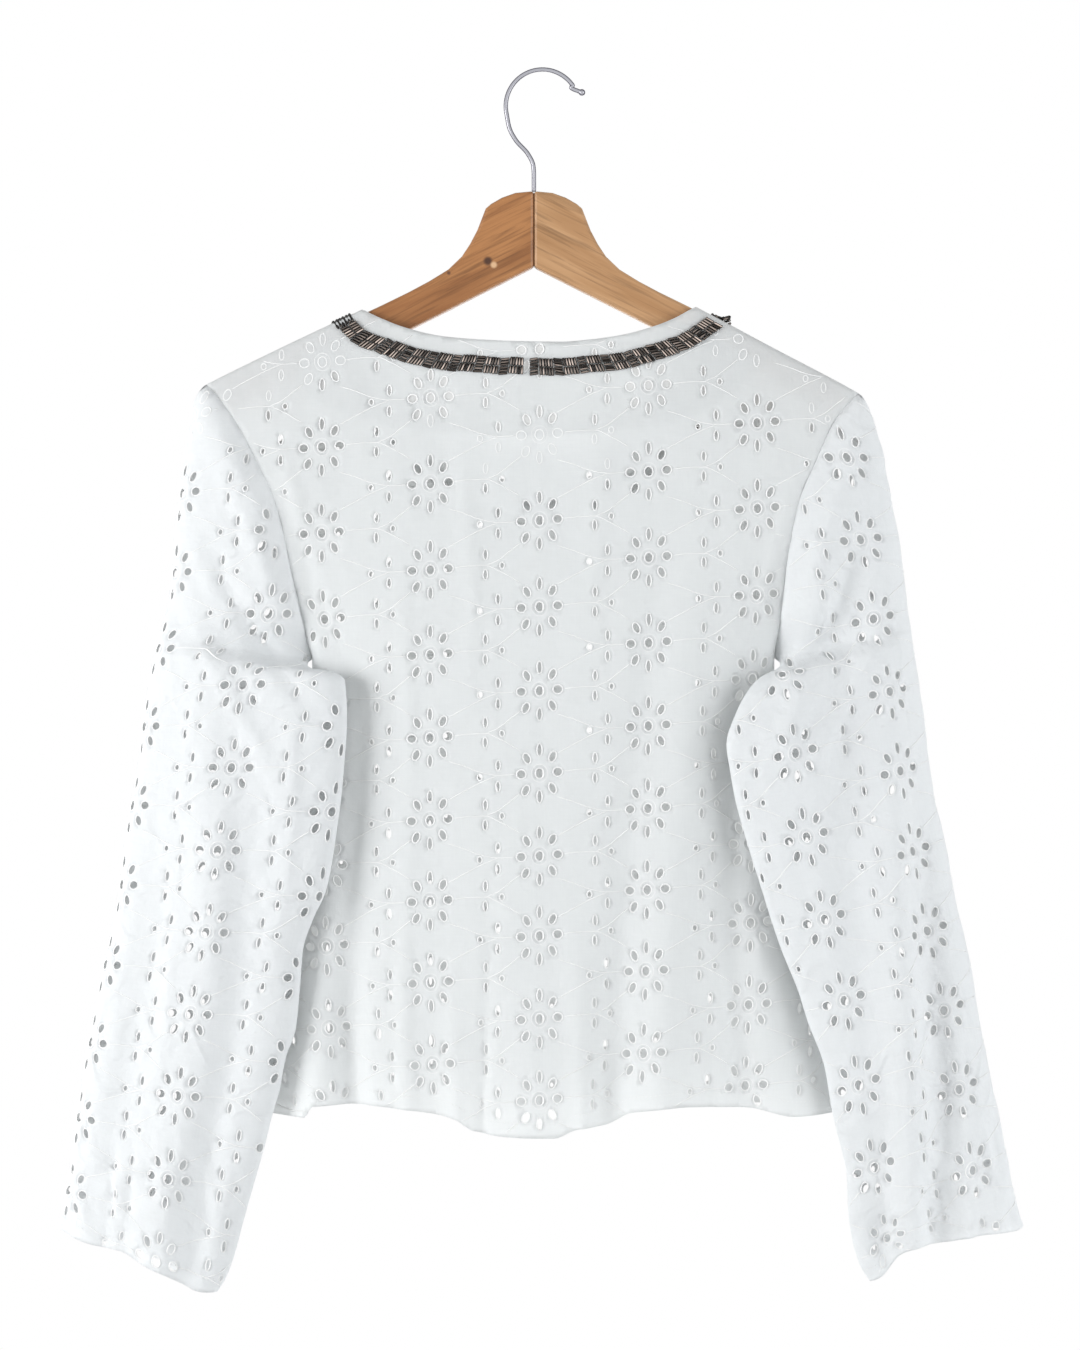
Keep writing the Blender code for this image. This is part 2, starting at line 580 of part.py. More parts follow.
def vertex_normals(points: np.ndarray, faces: np.ndarray) -> np.ndarray:
    """Each point's direction square to the surface."""
    corners = points[faces]
    across = np.cross(corners[:, 1] - corners[:, 0], corners[:, 2] - corners[:, 0])
    total = np.zeros_like(points)
    for corner in range(3):
        np.add.at(total, faces[:, corner], across)
    return total / np.maximum(np.linalg.norm(total, axis=1, keepdims=True), 1e-12)


def moved_out(points: np.ndarray, faces: np.ndarray, side: int, distance: float) -> np.ndarray:
    """The panel's points moved away from the body's inside by a distance, or inwards if it is negative."""
    normals = vertex_normals(points, faces)
    facing = np.sign(np.median(normals[np.unique(faces), 1]))
    return points + normals * facing * side * distance


def sleeve_lattice(hand: int, side: int, v_range: tuple) -> tuple:
    """Flower centres on half of a sleeve, and the half's mirror; they carry on round the outer fold."""
    out, z = SLEEVE_FLOWER[hand]
    u0, v0 = SLEEVE_SHEETS[hand, BACK].flat(hand * out, z, v_range)
    centres = []
    for column in range(-6, 7):
        for row in range(-14, 15):
            u = u0 - hand * COLUMN_PITCH * column
            centres.append((-side * u, v0 + ROW_PITCH * row + COLUMN_DROP * column))
    return np.array(centres), hand * side


def body_lattice(side: int) -> np.ndarray:
    """Flower centres on one side of the body, whose rows close up a little towards the hem."""
    shift_u, shift_v = (FRONT_SHIFT_U, FRONT_SHIFT_V) if side == FRONT else (0, 0)
    rows = np.arange(len(CENTRE_COLUMN_Z))
    centres = []
    for column in range(-3, 4):
        for row in range(-2, 13):
            level = row + COLUMN_DROP / ROW_PITCH * column
            if 0 <= level <= rows[-1]:
                v = -np.interp(level, rows, CENTRE_COLUMN_Z)
                centres.append((CENTRE_COLUMN_X + shift_u + COLUMN_PITCH * column, v + shift_v))
    return np.array(centres)


def flat_points(sheet: Sheet, points: tuple) -> list:
    """Flat positions on the body of points seen at x, z, each on its own level row."""
    found = []
    for x, z in points:
        half = 1 if x >= 0 else 0
        u = np.linspace(0, sheet.length(-z, half), SCAN_SAMPLES) * (1 if half else -1)
        seen = sheet.at(u, np.full(SCAN_SAMPLES, -z))
        found.append((float(u[np.argmin(np.abs(seen[:, 0] - x))]), -z))
    return found


def shoulder_line(start: float, end: float, drop: float, count: int) -> list:
    """Points seen along a line below the shoulder seam."""
    xs = np.linspace(start, end, count)
    return [(float(x), float(between(SHOULDER, x, "z")) - drop) for x in xs]


def offset_line(line: list, distance: float) -> list:
    """A line beside another, to the left of its direction on the flat plan, whose v runs down."""
    points = np.array(line)
    run = np.gradient(points, axis=0)
    run /= np.linalg.norm(run, axis=1, keepdims=True)
    return [tuple(point) for point in points + distance * np.stack([-run[:, 1], run[:, 0]], axis=1)]


def side_border(sheet: Sheet, hand: int, neck_x: float, trim_ends: tuple) -> list:
    """The panel's edge from the neck out along the shoulder, down the armhole and the side seam to the hem."""
    tip_x = hand * ARMHOLE[hand][0][0]
    stops = sorted({*trim_ends, *np.linspace(neck_x, tip_x, 6)[1:]}, key=abs)
    border = flat_points(sheet, tuple((x, float(between(SHOULDER, x, "z"))) for x in stops))
    hole = flat_points(sheet, tuple((hand * out, z) for out, z in ARMHOLE[hand][1:-1]))
    half = 1 if hand == RIGHT else 0
    bottom = -ARMHOLE[hand][-1][1]
    side = [(hand * float(sheet.length(v, half)), float(v)) for v in np.linspace(bottom, -HEM_SIDE_Z, 8)]
    return border + hole + side


def body_rings(plan: Plan, sheet: Sheet, hand: int, neck_x: float, side: int) -> None:
    """Adds the lines beside the shoulder seam and the side seam, where the cloth turns."""
    tip_x = hand * ARMHOLE[hand][0][0]
    for drop in SHOULDER_RINGS:
        start = neck_x - hand * 0.45 * drop if side == BACK else neck_x + hand * (1 + 0.1 * drop)
        end = tip_x - hand * (2 + 2.2 * drop)
        plan.keep(flat_points(sheet, tuple(shoulder_line(start, end, drop, 7))))
    half = 1 if hand == RIGHT else 0
    bottom = -ARMHOLE[hand][-1][1]
    for step in RING_STEPS:
        levels = np.linspace(bottom + 6, -HEM_SIDE_Z, 8)
        plan.keep([(hand * (float(sheet.length(v, half)) - step), float(v)) for v in levels])


def hem_corner(sheet: Sheet, hand: int) -> list:
    """Points along the hem beside the side seam, from the inside out."""
    half = 1 if hand == RIGHT else 0
    end = float(sheet.length(-HEM_SIDE_Z, half))
    return [(hand * (end - step), -HEM_SIDE_Z) for step in reversed(RING_STEPS)]


def body_grid() -> np.ndarray:
    """A grid of flat points over the body."""
    columns = np.arange(-16, 17) * COLUMN_STEP
    rows = np.arange(185, 740, ROW_SPACING)
    return np.array([(u, v) for v in rows for u in columns])


def trim_lines(neck: list, ends: list, towards: int) -> tuple:
    """The near and far edges of the trim, whose ends lie on the shoulder seam where it is given."""
    near, far = offset_line(neck, towards * TRIM_NEAR), offset_line(neck, towards * TRIM_FAR)
    for index, pair in ends:
        near[index], far[index] = pair
    return near, far


def seam_pair(sheet: Sheet, hand: int) -> tuple:
    """Where the trim's two edges meet the shoulder seam, on the flat plan."""
    return tuple(flat_points(sheet, tuple((x, float(between(SHOULDER, x, "z"))) for x in TRIM_ENDS[hand])))


def build_panel(name: str, plan: Plan, sheet: Sheet, side: int) -> tuple:
    """Makes a body panel and returns its points, triangles and flat plan for what lies on it."""
    flat, faces, in_eyelet = plan.triangles()
    points = over_arm(sheet.at(flat[:, 0], flat[:, 1]), side)
    cloth(name, points, faces[~in_eyelet], CLOTH, COTTON)
    return flat, faces, points


def strip_on(
    name: str, made: tuple, region: list, side: int, distance: float, thick: float, finish: tuple
) -> None:
    """A strip that lies on a panel: the panel's own triangles within a region, moved out or in."""
    flat, faces, points = made
    within = inside(flat[faces].mean(axis=1), np.array(region))
    cloth(name, moved_out(points, faces, side, distance), faces[within], thick, finish)


def make_back() -> None:
    """The back, its neck facing and its bead trim."""
    sheet = BODY_SHEETS[BACK]
    neck = flat_points(sheet, NECK_BACK)
    left, right = seam_pair(sheet, LEFT), seam_pair(sheet, RIGHT)
    ends_left, ends_right = TRIM_ENDS[LEFT], TRIM_ENDS[RIGHT]
    hem = hem_corner(sheet, LEFT)[::-1] + flat_points(sheet, HEM_BACK) + hem_corner(sheet, RIGHT)
    outline = neck + side_border(sheet, RIGHT, NECK_BACK[-1][0], ends_right)
    outline += hem[::-1] + side_border(sheet, LEFT, NECK_BACK[0][0], ends_left)[::-1]
    plan = Plan(outline)
    near, far = trim_lines(neck, [(0, left), (-1, right)], 1)
    facing = [neck[3], *flat_points(sheet, FACING_LOWER), neck[-4]]
    for line in (near, far, facing):
        plan.keep(line)
    for hand, neck_x in ((LEFT, NECK_BACK[0][0]), (RIGHT, NECK_BACK[-1][0])):
        body_rings(plan, sheet, hand, neck_x, BACK)
    plan.fill(body_grid(), BODY_MARGIN)
    for eyelet in (CENTRE_EYELET, *SIDE_EYELETS):
        plan.cut(body_lattice(BACK), eyelet, [near, far, facing])
    made = build_panel("jacket_back", plan, sheet, BACK)
    out = CLOTH / 2 + SEAM_GAP + TRIM / 2
    strip_on("bead_trim_back", made, near + far[::-1], BACK, out, TRIM, BEADS)
    inwards = -(CLOTH / 2 + SEAM_GAP + FACING / 2)
    strip_on("neck_facing_back", made, neck[3:-3] + facing[::-1][1:-1], BACK, inwards, FACING, PLAIN_COTTON)


def make_front(hand: int, neck_points: tuple, word: str) -> None:
    """One front and its bead trim."""
    sheet = BODY_SHEETS[FRONT]
    neck = flat_points(sheet, neck_points)
    border = side_border(sheet, hand, neck_points[0][0], TRIM_ENDS[hand])
    middle = neck[-1][0]
    down = [(middle, float(v)) for v in np.linspace(neck[-1][1], -HEM_FRONT_Z, 10)[1:]]
    along = np.linspace(middle, hand * 150, 9)[1:]
    hem = [(float(u), float(np.interp(abs(u), (0, 150), (-HEM_FRONT_Z, -HEM_SIDE_Z)))) for u in along]
    plan = Plan(neck + down + hem + hem_corner(sheet, hand) + border[::-1])
    near, far = trim_lines(neck, [(0, seam_pair(sheet, hand))], -hand)
    near[-1] = (middle, neck[-1][1] + TRIM_NEAR)
    far[-1] = (middle, neck[-1][1] + TRIM_FAR)
    for line in (near, far):
        plan.keep(line)
    body_rings(plan, sheet, hand, neck_points[0][0], FRONT)
    plan.fill(body_grid(), BODY_MARGIN)
    plan.cut(body_lattice(FRONT), CENTRE_EYELET, [near, far])
    made = build_panel(f"jacket_front_{word}", plan, sheet, FRONT)
    out = CLOTH / 2 + SEAM_GAP + TRIM / 2
    strip_on(f"bead_trim_front_{word}", made, near + far[::-1], FRONT, out, TRIM, BEADS)


def make_sleeve(hand: int, side: int, name: str) -> None:
    """One half of a sleeve, from the armhole seam to the cuff."""
    sheet = SLEEVE_SHEETS[hand, side]
    stations = row_station(hand, side)
    middle = np.array([(np.array(start) + np.array(end)) / 2 for start, end, *_ in stations])
    along = np.concatenate([[0], np.cumsum(np.linalg.norm(np.diff(middle[:, [0, 2]], axis=0), axis=1))])
    cap = len(ARMHOLE[hand])
    picked = [*range(cap + 6), *range(cap + 7, len(along) - 1, 2), len(along) - 1]
    levels = along[picked]
    inner = [(float(sheet.length(v, 1)), float(v)) for v in levels]
    outer = [(0.0, float(v)) for v in levels]
    last, width = float(levels[-1]), inner[-1][0]
    steps = [*RING_STEPS, *np.linspace(RING_STEPS[-1], width - RING_STEPS[-1], 9)[1:-1]]
    steps += [width - step for step in reversed(RING_STEPS)]
    top = [(inner[0][0] * share, float(levels[0])) for share in (0.85, 0.5, 0.15)]
    plan = Plan(outer[:-1] + [(0.0, last)] + [(float(u), last) for u in steps] + inner[::-1] + top)
    for index, step in enumerate(RING_STEPS):
        plan.keep([(step, float(v)) for v in levels[1 + (index + 1) // 2 :]])
        plan.keep([(float(sheet.length(v, 1)) - step, float(v)) for v in levels[cap - 1 :]])
    rows = np.concatenate([levels[5:cap:2], levels[cap + 5 :]])
    grid = []
    for v in rows:
        length = float(sheet.length(v, 1))
        count = max(2, round((length - 18) / COLUMN_STEP))
        grid += [(u, v) for u in np.linspace(9, length - 9, count + 1)[1:-1]]
    plan.fill(np.array(grid), SLEEVE_MARGIN)
    flowers, mirror = sleeve_lattice(hand, side, (float(levels[0]), last))
    for eyelet in (CENTRE_EYELET, *(SIDE_EYELETS if side == BACK else ())):
        plan.cut(flowers, eyelet, [], mirror)
    flat, faces, in_eyelet = plan.triangles()
    points = sheet.at(flat[:, 0], flat[:, 1])
    cloth(name, points, faces[~in_eyelet], CLOTH, COTTON)


def make_hanger_arm(hand: int, name: str, finish: tuple) -> None:
    """One wooden arm, cut from a flat board and rounded along its edges."""
    end_out, end_z = HANGER_END[hand]
    height = end_z - HANGER_BOTTOM_Z - HANGER_BOTTOM_SLOPE * (end_out - HANGER_TIP_SET)
    tip = [(end_out + height * along, end_z + height * up) for along, up in HANGER_TIP]
    inner = end_out - HANGER_TIP_START
    bottom = [(inner, HANGER_BOTTOM_Z + HANGER_BOTTOM_SLOPE * inner), (0, HANGER_BOTTOM_Z)]
    outline = [*HANGER_TOP, HANGER_END[hand], *tip, *bottom]
    gap = SEAM_GAP / 2
    mesh = bpy.data.meshes.new(name)
    xs = [HANGER_X + hand * max(out, gap) for out, _ in outline]
    corners = [(x * METRE, HANGER_THICK / 2 * METRE, z * METRE) for x, (_, z) in zip(xs, outline)]
    mesh.from_pydata(corners, [], [list(range(len(corners)))[::hand]])
    obj = bpy.data.objects.new(name, mesh)
    place(obj, finish)
    board = obj.modifiers.new("Solidify", "SOLIDIFY")
    board.thickness = HANGER_THICK * METRE
    board.offset = -1
    edges = obj.modifiers.new("Bevel", "BEVEL")
    edges.width = HANGER_ROUND * METRE
    edges.segments = 2
    edges.limit_method = "ANGLE"
    edges.angle_limit = math.radians(60)


def make_hook() -> None:
    """The hook: one wire bent round, with a small ball at its tip."""
    turn = np.radians(np.linspace(HOOK_FROM, HOOK_TO, HOOK_POINTS))
    centre_x, centre_z = HOOK_CENTRE
    bend = [(centre_x + HOOK_BEND * math.cos(a), centre_z + HOOK_BEND * math.sin(a)) for a in turn]
    path = [*HOOK_PATH[::-1], *bend, *HOOK_NIB]
    radii = [1.0] * len(path)
    tip = np.array(HOOK_NIB[-1])
    run = tip - np.array(HOOK_NIB[-2])
    run /= np.linalg.norm(run)
    for angle in np.radians(np.linspace(BALL_FROM, BALL_TO, BALL_POINTS)):
        path.append(tuple(tip + run * BALL_RADIUS * (1 + math.sin(angle))))
        radii.append(max(BALL_RADIUS * math.cos(angle) / HOOK_RADIUS, WIRE_LEAST))
    curve = bpy.data.curves.new("hanger_hook", "CURVE")
    curve.dimensions = "3D"
    curve.bevel_depth = HOOK_RADIUS * METRE
    curve.bevel_resolution = 2
    curve.use_fill_caps = True
    spline = curve.splines.new("POLY")
    spline.points.add(len(path) - 1)
    for point, (x, z), radius in zip(spline.points, path, radii):
        point.co = (x * METRE, 0, z * METRE, 1)
        point.radius = radius
    obj = bpy.data.objects.new("hanger_hook", curve)
    place(obj, CHROME)


for thing in list(bpy.data.objects):
    bpy.data.objects.remove(thing, do_unlink=True)
JACKET = bpy.data.collections.new("eyelet_jacket")
bpy.context.scene.collection.children.link(JACKET)

BODY_SHEETS = {side: body_sheet(side) for side in (BACK, FRONT)}
SLEEVE_SHEETS = {(hand, side): sleeve_sheet(hand, side) for hand in (LEFT, RIGHT) for side in (BACK, FRONT)}
COTTON = ((0.85, 0.86, 0.86), 0.9)
PLAIN_COTTON = ((0.84, 0.84, 0.83), 0.92)
BEADS = ((0.045, 0.035, 0.028), 0.3, 0.7)
LEFT_WOOD = ((0.50, 0.25, 0.11), 0.5)
RIGHT_WOOD = ((0.60, 0.37, 0.17), 0.5)
CHROME = ((0.72, 0.73, 0.75), 0.12, 1.0)

make_back()
make_front(LEFT, NECK_FRONT_LEFT, "left")
make_front(RIGHT, NECK_FRONT_RIGHT, "right")
for hand_side, hand_word in ((LEFT, "left"), (RIGHT, "right")):
    make_sleeve(hand_side, BACK, f"sleeve_{hand_word}_back")
    make_sleeve(hand_side, FRONT, f"sleeve_{hand_word}_front")
make_hanger_arm(LEFT, "hanger_arm_left", LEFT_WOOD)
make_hanger_arm(RIGHT, "hanger_arm_right", RIGHT_WOOD)
make_hook()
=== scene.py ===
"""Looks of the eyelet jacket on its wooden hanger, hung and seen from behind as in the product photo.

Lengths here are millimetres on the real garment, and each mesh turns them into metres as it is made. X runs
to the viewer's right, the jacket's back faces -Y, and the origin is where the hook bears on the rail. A flat
position (u, v) is a place on the cloth before it was hung: u across and v down.
"""

import logging
import math
from dataclasses import dataclass
from enum import IntEnum
from typing import NamedTuple, Sequence

import bmesh
import bpy
import numpy as np
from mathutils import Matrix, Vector
from mathutils.geometry import delaunay_2d_cdt


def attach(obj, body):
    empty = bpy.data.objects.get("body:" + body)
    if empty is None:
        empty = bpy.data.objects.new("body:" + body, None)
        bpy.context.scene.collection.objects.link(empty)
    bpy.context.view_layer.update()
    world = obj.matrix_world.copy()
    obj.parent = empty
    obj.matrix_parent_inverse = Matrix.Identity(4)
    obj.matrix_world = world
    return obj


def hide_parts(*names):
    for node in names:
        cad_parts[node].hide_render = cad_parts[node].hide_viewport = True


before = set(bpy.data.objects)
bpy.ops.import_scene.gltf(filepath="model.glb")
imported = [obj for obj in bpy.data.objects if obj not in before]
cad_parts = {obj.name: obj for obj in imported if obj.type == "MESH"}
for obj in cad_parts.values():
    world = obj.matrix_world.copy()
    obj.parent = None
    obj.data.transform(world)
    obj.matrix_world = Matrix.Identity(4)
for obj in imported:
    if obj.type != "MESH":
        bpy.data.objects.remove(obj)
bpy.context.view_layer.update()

LOG = logging.getLogger("eyelet_jacket")
METRE = 0.001


class Side(IntEnum):
    """Which face of the jacket, as the sign of Y."""

    BACK = -1
    FRONT = 1


class Hand(IntEnum):
    """Which hand of the jacket, as the sign of X."""

    LEFT = -1
    RIGHT = 1


# How thick the cloth is, and how near the middle plane its middle comes.
SHELL = 0.5
EDGE_OFF = 0.25
# How square the body's level section is (2 is an ellipse), and from which drop to which it is formed.
BODY_ROUNDNESS = 2.6
BODY_DROPS = (100, 760)
# How late folds fade out towards the side seams, as a power.
FOLD_FADE = 6
# How far apart the rows of a surface are, and how many points it has along them.
ROW_STEP = 2.5
CURVE_SAMPLES = 300
BODY_SAMPLES = 601
HALF_SAMPLES = 301
SCAN_SAMPLES = 2001
# Keeps a place on the last row of a surface inside its last step.
JUST_OVER_ONE = 1.000001

# The body's half widths, and how far its back and front stand off the middle plane.
BODY = (
    ("z", "left", "right", "back", "front"),
    (
        (-100, 246, 236, 12, 12), (-165, 246, 236, 15, 15), (-190, 246, 236, 17, 17),
        (-220, 246, 236, 20, 20), (-260, 246, 238, 25, 25), (-300, 236, 228, 29, 30),
        (-330, 212, 206, 32, 33), (-350, 196, 192, 34, 35), (-375, 175, 175, 36, 37),
        (-400, 160, 160, 37, 38), (-405, 158.5, 159.6, 37, 38), (-450, 160, 160, 38, 40),
        (-500, 164, 165, 39, 41), (-560, 171, 174, 41, 43), (-620, 180, 186, 42, 44),
        (-680, 188, 197, 43, 45), (-760, 197, 210, 44, 46),
    ),
)
# The line of the shoulder seams, carried on over the neck.
SHOULDER = (
    ("x", "z"),
    (
        (-250, -226), (-231.5, -216), (-180, -190.6), (-124.5, -164.4), (-60, -134), (0, -108),
        (50, -134.6), (105.9, -162.6), (160, -191.3), (217.7, -222), (240, -236),
    ),
)
# How far the cloth stands off the middle plane at each drop below the shoulder seam, over the hanger's arm,
# and how softly that passes into the body's own form.
OVER_ARM = (
    ("drop", "off"),
    (
        (0, 0.27), (0.5, 3.2), (1.6, 5.8), (4, 8), (10, 9.8),
        (20, 12), (40, 16), (80, 25), (130, 36), (200, 55),
    ),
)
ARM_SOFTNESS, ARM_DROP = 1.6, 12.0
# How far from the middle each front's edge lies.
FRONT_EDGE = 0.2
# The necklines and the back's hem, as x and z.
NECK_BACK = (
    (-124.5, -164.4), (-118.5, -167.6), (-110, -171.7), (-94, -178), (-70, -183.7), (-47, -186),
    (-18.6, -187.4), (12, -187.9), (36, -186), (55.4, -183), (75, -177.5), (90, -171.5),
    (99.5, -166.2), (105.9, -162.6),
)
NECK_FRONT = {
    Hand.LEFT: (
        (-124.5, -164.4), (-123.6, -171), (-121, -184), (-112, -207), (-98, -230),
        (-79, -251), (-56, -268), (-30, -279), (-FRONT_EDGE, -283),
    ),
    Hand.RIGHT: (
        (105.9, -162.6), (106.4, -169.5), (107, -184), (101, -207), (90, -230),
        (73, -251), (52, -268), (28, -279), (FRONT_EDGE, -283),
    ),
}
HEM_BACK = (
    (-162, -717.5), (-156, -710), (-126, -708.5), (-90, -711.5), (-60, -717), (-47, -725), (-22, -729),
    (8, -730), (24, -724), (42, -722), (61, -713), (101, -709.5), (141, -711), (173, -717.5),
)
HEM_SIDE_Z, HEM_FRONT_Z = -716.0, -722.0
# The armholes from the shoulder's tip down, as distance from the middle and z.
ARMHOLE = {
    Hand.LEFT: (
        (231.5, -216), (222, -226.5), (212, -240), (203, -255), (194, -273), (185, -292),
        (178, -316), (172, -345), (165, -376), (158.5, -405),
    ),
    Hand.RIGHT: (
        (217.7, -222), (209, -231.5), (200, -243), (192.5, -258), (185.5, -274), (178.5, -289),
        (174, -303), (168, -334), (164, -368), (159.6, -404),
    ),
}
# Folds and creases of the cloth: half width, and a path of x, z and rise of the crest (a valley is negative).
BODY_FOLDS = {
    Side.BACK: (
        (12, ((-141, -470, 0), (-147, -560, 3.5), (-156, -650, 5.5), (-160, -760, 7))),
        (11, ((-120, -430, 0), (-130, -540, -5), (-131, -640, -8), (-126, -760, -11))),
        (7, ((-62, -600, 0), (-60, -680, 3), (-59, -760, 6))),
        (30, ((-14, -480, 0), (-14, -600, 2.5), (-13, -760, 7))),
        (13, ((80, -300, 0), (70, -430, -3), (55, -580, -5), (43, -760, -8))),
        (14, ((104, -300, 0), (97, -430, 2.5), (85, -580, 4.5), (76, -760, 6.5))),
        (12, (
            (168, -270, 0), (152, -360, -3), (136, -433, -5),
            (128, -571, -6), (132, -650, -7), (140, -760, -8),
        )),
        (12, ((-176, -280, 0), (-158, -340, -3), (-140, -400, -4), (-118, -470, 0))),
    ),
    Side.FRONT: (
        (14, ((-138, -430, 0), (-142, -560, 4), (-150, -760, 8))),
        (13, ((-108, -400, 0), (-112, -560, -4), (-114, -760, -8))),
        (16, ((-66, -420, 0), (-68, -600, 3), (-70, -760, 7))),
        (15, ((62, -380, 0), (66, -560, 3), (72, -760, 7))),
        (13, ((106, -420, 0), (110, -580, -4), (116, -760, -8))),
        (14, ((146, -440, 0), (150, -600, 4), (158, -760, 7))),
    ),
}
BODY_CREASES = {
    Side.BACK: (
        (5, ((-96, -330, 0), (-92, -420, 0.9), (-90, -520, 0.4), (-94, -640, 1.3), (-92, -730, 1.6))),
        (4, ((-34, -520, 0), (-36, -600, -0.8), (-40, -690, -1.6), (-41, -740, -2.0))),
        (6, ((22, -560, 0), (24, -640, 1.0), (30, -740, 2.2))),
        (4, ((112, -620, 0), (114, -680, -1.0), (116, -740, -1.5))),
        (5, ((-182, -250, 0), (-168, -300, 1.6), (-150, -352, 1.2), (-128, -405, 0))),
        (4, ((176, -262, 0), (164, -310, 1.4), (152, -352, 1.2), (140, -400, 0))),
        (5, ((-60, -216, 0), (-52, -300, 0.5), (-48, -380, 0.7), (-50, -450, 0))),
        (7, ((40, -230, 0), (36, -320, 0.6), (30, -420, 0))),
    ),
    Side.FRONT: (
        (5, ((-170, -260, 0), (-156, -320, 1.5), (-140, -380, 0.8), (-120, -430, 0))),
        (5, ((166, -262, 0), (152, -320, 1.5), (138, -380, 0.8), (122, -430, 0))),
        (6, ((-34, -380, 0), (-30, -500, 0.9), (-32, -640, 1.4), (-28, -740, 2.0))),
        (6, ((36, -400, 0), (34, -520, 0.7), (30, -660, 1.5), (33, -740, 1.8))),
        (4, ((88, -560, 0), (90, -660, -1.2), (92, -740, -1.8))),
    ),
}


class FoldRow(NamedTuple):
    """A sleeve row below the armhole: its inner end, inner_y off the middle plane, and its outer end's z."""

    inner_out: float
    inner_z: float
    inner_y: float
    outer_z: float


SLEEVE_FOLD_ROWS = {
    Hand.LEFT: (
        (162.5, -408.5, -12, -396), (158.5, -412, -23, -400), (149, -413, -28.5, -404),
        (140, -415, -33, -409), (134.5, -419.5, -36, -414), (133, -444, -38, -438),
        (136, -491, -38.5, -480), (140, -523, -39, -511),
        (147, -562, -38, -547), (156, -582, -36, -568), (163, -603, -34.5, -588), (165, -627, -34.5, -612),
        (168, -657, -34.5, -640), (175, -677, -33, -658), (179, -698, -32, -678), (184, -715, -30, -693),
        (190, -739, -28, -713), (197, -763, -25, -733), (205, -791, -21, -755), (212, -816, -17, -776),
        (218, -831, -14, -788), (223, -839, -12, -795.4),
    ),
    Hand.RIGHT: (
        (164, -408.5, -12, -392), (160, -412.5, -23, -397), (150, -417, -29, -403),
        (140, -427, -35, -412), (132, -441.5, -38, -424), (125, -463, -40.5, -443),
        (127.6, -482, -40.5, -460), (131, -501, -40.5, -478),
        (137, -523, -40, -499), (149, -562, -39, -537), (162, -601.5, -37, -575), (174, -631, -35, -604),
        (181, -653, -34, -626), (192, -682, -31, -652), (198, -715.5, -29, -682), (204, -739, -26, -704),
        (208, -757, -24, -722), (209, -779, -22, -744), (211.6, -799, -19, -762), (218, -821, -15, -782),
        (224.8, -832, -12, -793.6),
    ),
}
# The outer ends' z of the rows from each point of the armhole, and the outer fold, as z and distance out.
SLEEVE_CAP_ENDS = {
    Hand.LEFT: (-219.5, -230, -243, -257, -273, -291, -314, -341, -368, -392),
    Hand.RIGHT: (-226, -236, -248, -262, -277, -290, -303, -330, -358, -388),
}
SLEEVE_OUTER = {
    Hand.LEFT: (
        (-216, 231.5), (-219.5, 235.5), (-230, 241), (-243, 242.8), (-257, 243.8), (-273, 246.5), (-297, 250),
        (-364.5, 258), (-420, 270.6), (-453, 275.4), (-494.5, 281), (-523, 286), (-560, 290.4), (-640.5, 307),
        (-670.5, 312.6), (-702, 318), (-736, 322), (-771.5, 327.6), (-795.4, 332.4),
    ),
    Hand.RIGHT: (
        (-222, 217.6), (-226, 221.5), (-237, 227), (-257, 232.6), (-280.5, 236.6), (-317.5, 243.5),
        (-351, 249.6), (-393, 254.5), (-430, 260), (-465, 264.6), (-503, 270), (-536, 277),
        (-572, 284), (-607.5, 292.6),
        (-649, 299.7), (-680, 305.5), (-726, 314.6), (-759, 321), (-783, 327), (-793.6, 330.4),
    ),
}
# How far a sleeve bulges below the armhole, and where its outer fold lies off the middle plane.
SLEEVE_BODY = (
    ("z", "bulge", "outer_y"),
    ((-840, 17, -10), (-760, 19, -9.7), (-600, 22, -9), (-410, 20.5, -6)),
)
# How far the sleeve's head bulges out: everywhere, more near its tip, and more towards the underarm.
CAP_BULGE, CAP_TIP_BULGE, CAP_LOW_BULGE = 1.5, 2.5, 19.0
# How fast the head rises from its seam, as a power, and how far back its outer fold is at the underarm.
CAP_ROUNDNESS, CAP_DROP = 2.6, 6.0
# More rows near the shoulder's tip, where the seam turns down fast: as shares of the first armhole step, as
# levels of the sleeve, and as shares of the first step of the panel's edge.
TIP_STATIONS = (0.04, 0.12, 0.3, 0.6)
TIP_LEVELS = (0.4, 1.0, 1.8)
TIP_STEPS = (0.12, 0.35)
# How much room a sleeve leaves beside the armhole towards the underarm.
UNDERARM_ROOM = 0.4
# Over what share of its row a front tucks in behind the outer fold, how round it is there, the fold's radius,
# and how fast folds fade out towards a sleeve's edges.
TUCK_SHARE, TUCK_ROUNDNESS, FOLD_RADIUS, SLEEVE_FOLD_FADE = 0.55, 2.4, 3.0, 1.5
# The cuff line: the share of the way from the outer end to the inner end, and the height there.
CUFF = {
    Hand.LEFT: (
        (0, -795.4), (0.115, -801.5), (0.24, -806), (0.405, -809.5), (0.515, -816), (0.67, -824.5),
        (0.79, -832), (0.9, -838), (1, -839),
    ),
    Hand.RIGHT: (
        (0, -793.6), (0.05, -797), (0.25, -798.5), (0.5, -803), (0.74, -807), (0.82, -812),
        (0.92, -827), (1, -832),
    ),
}
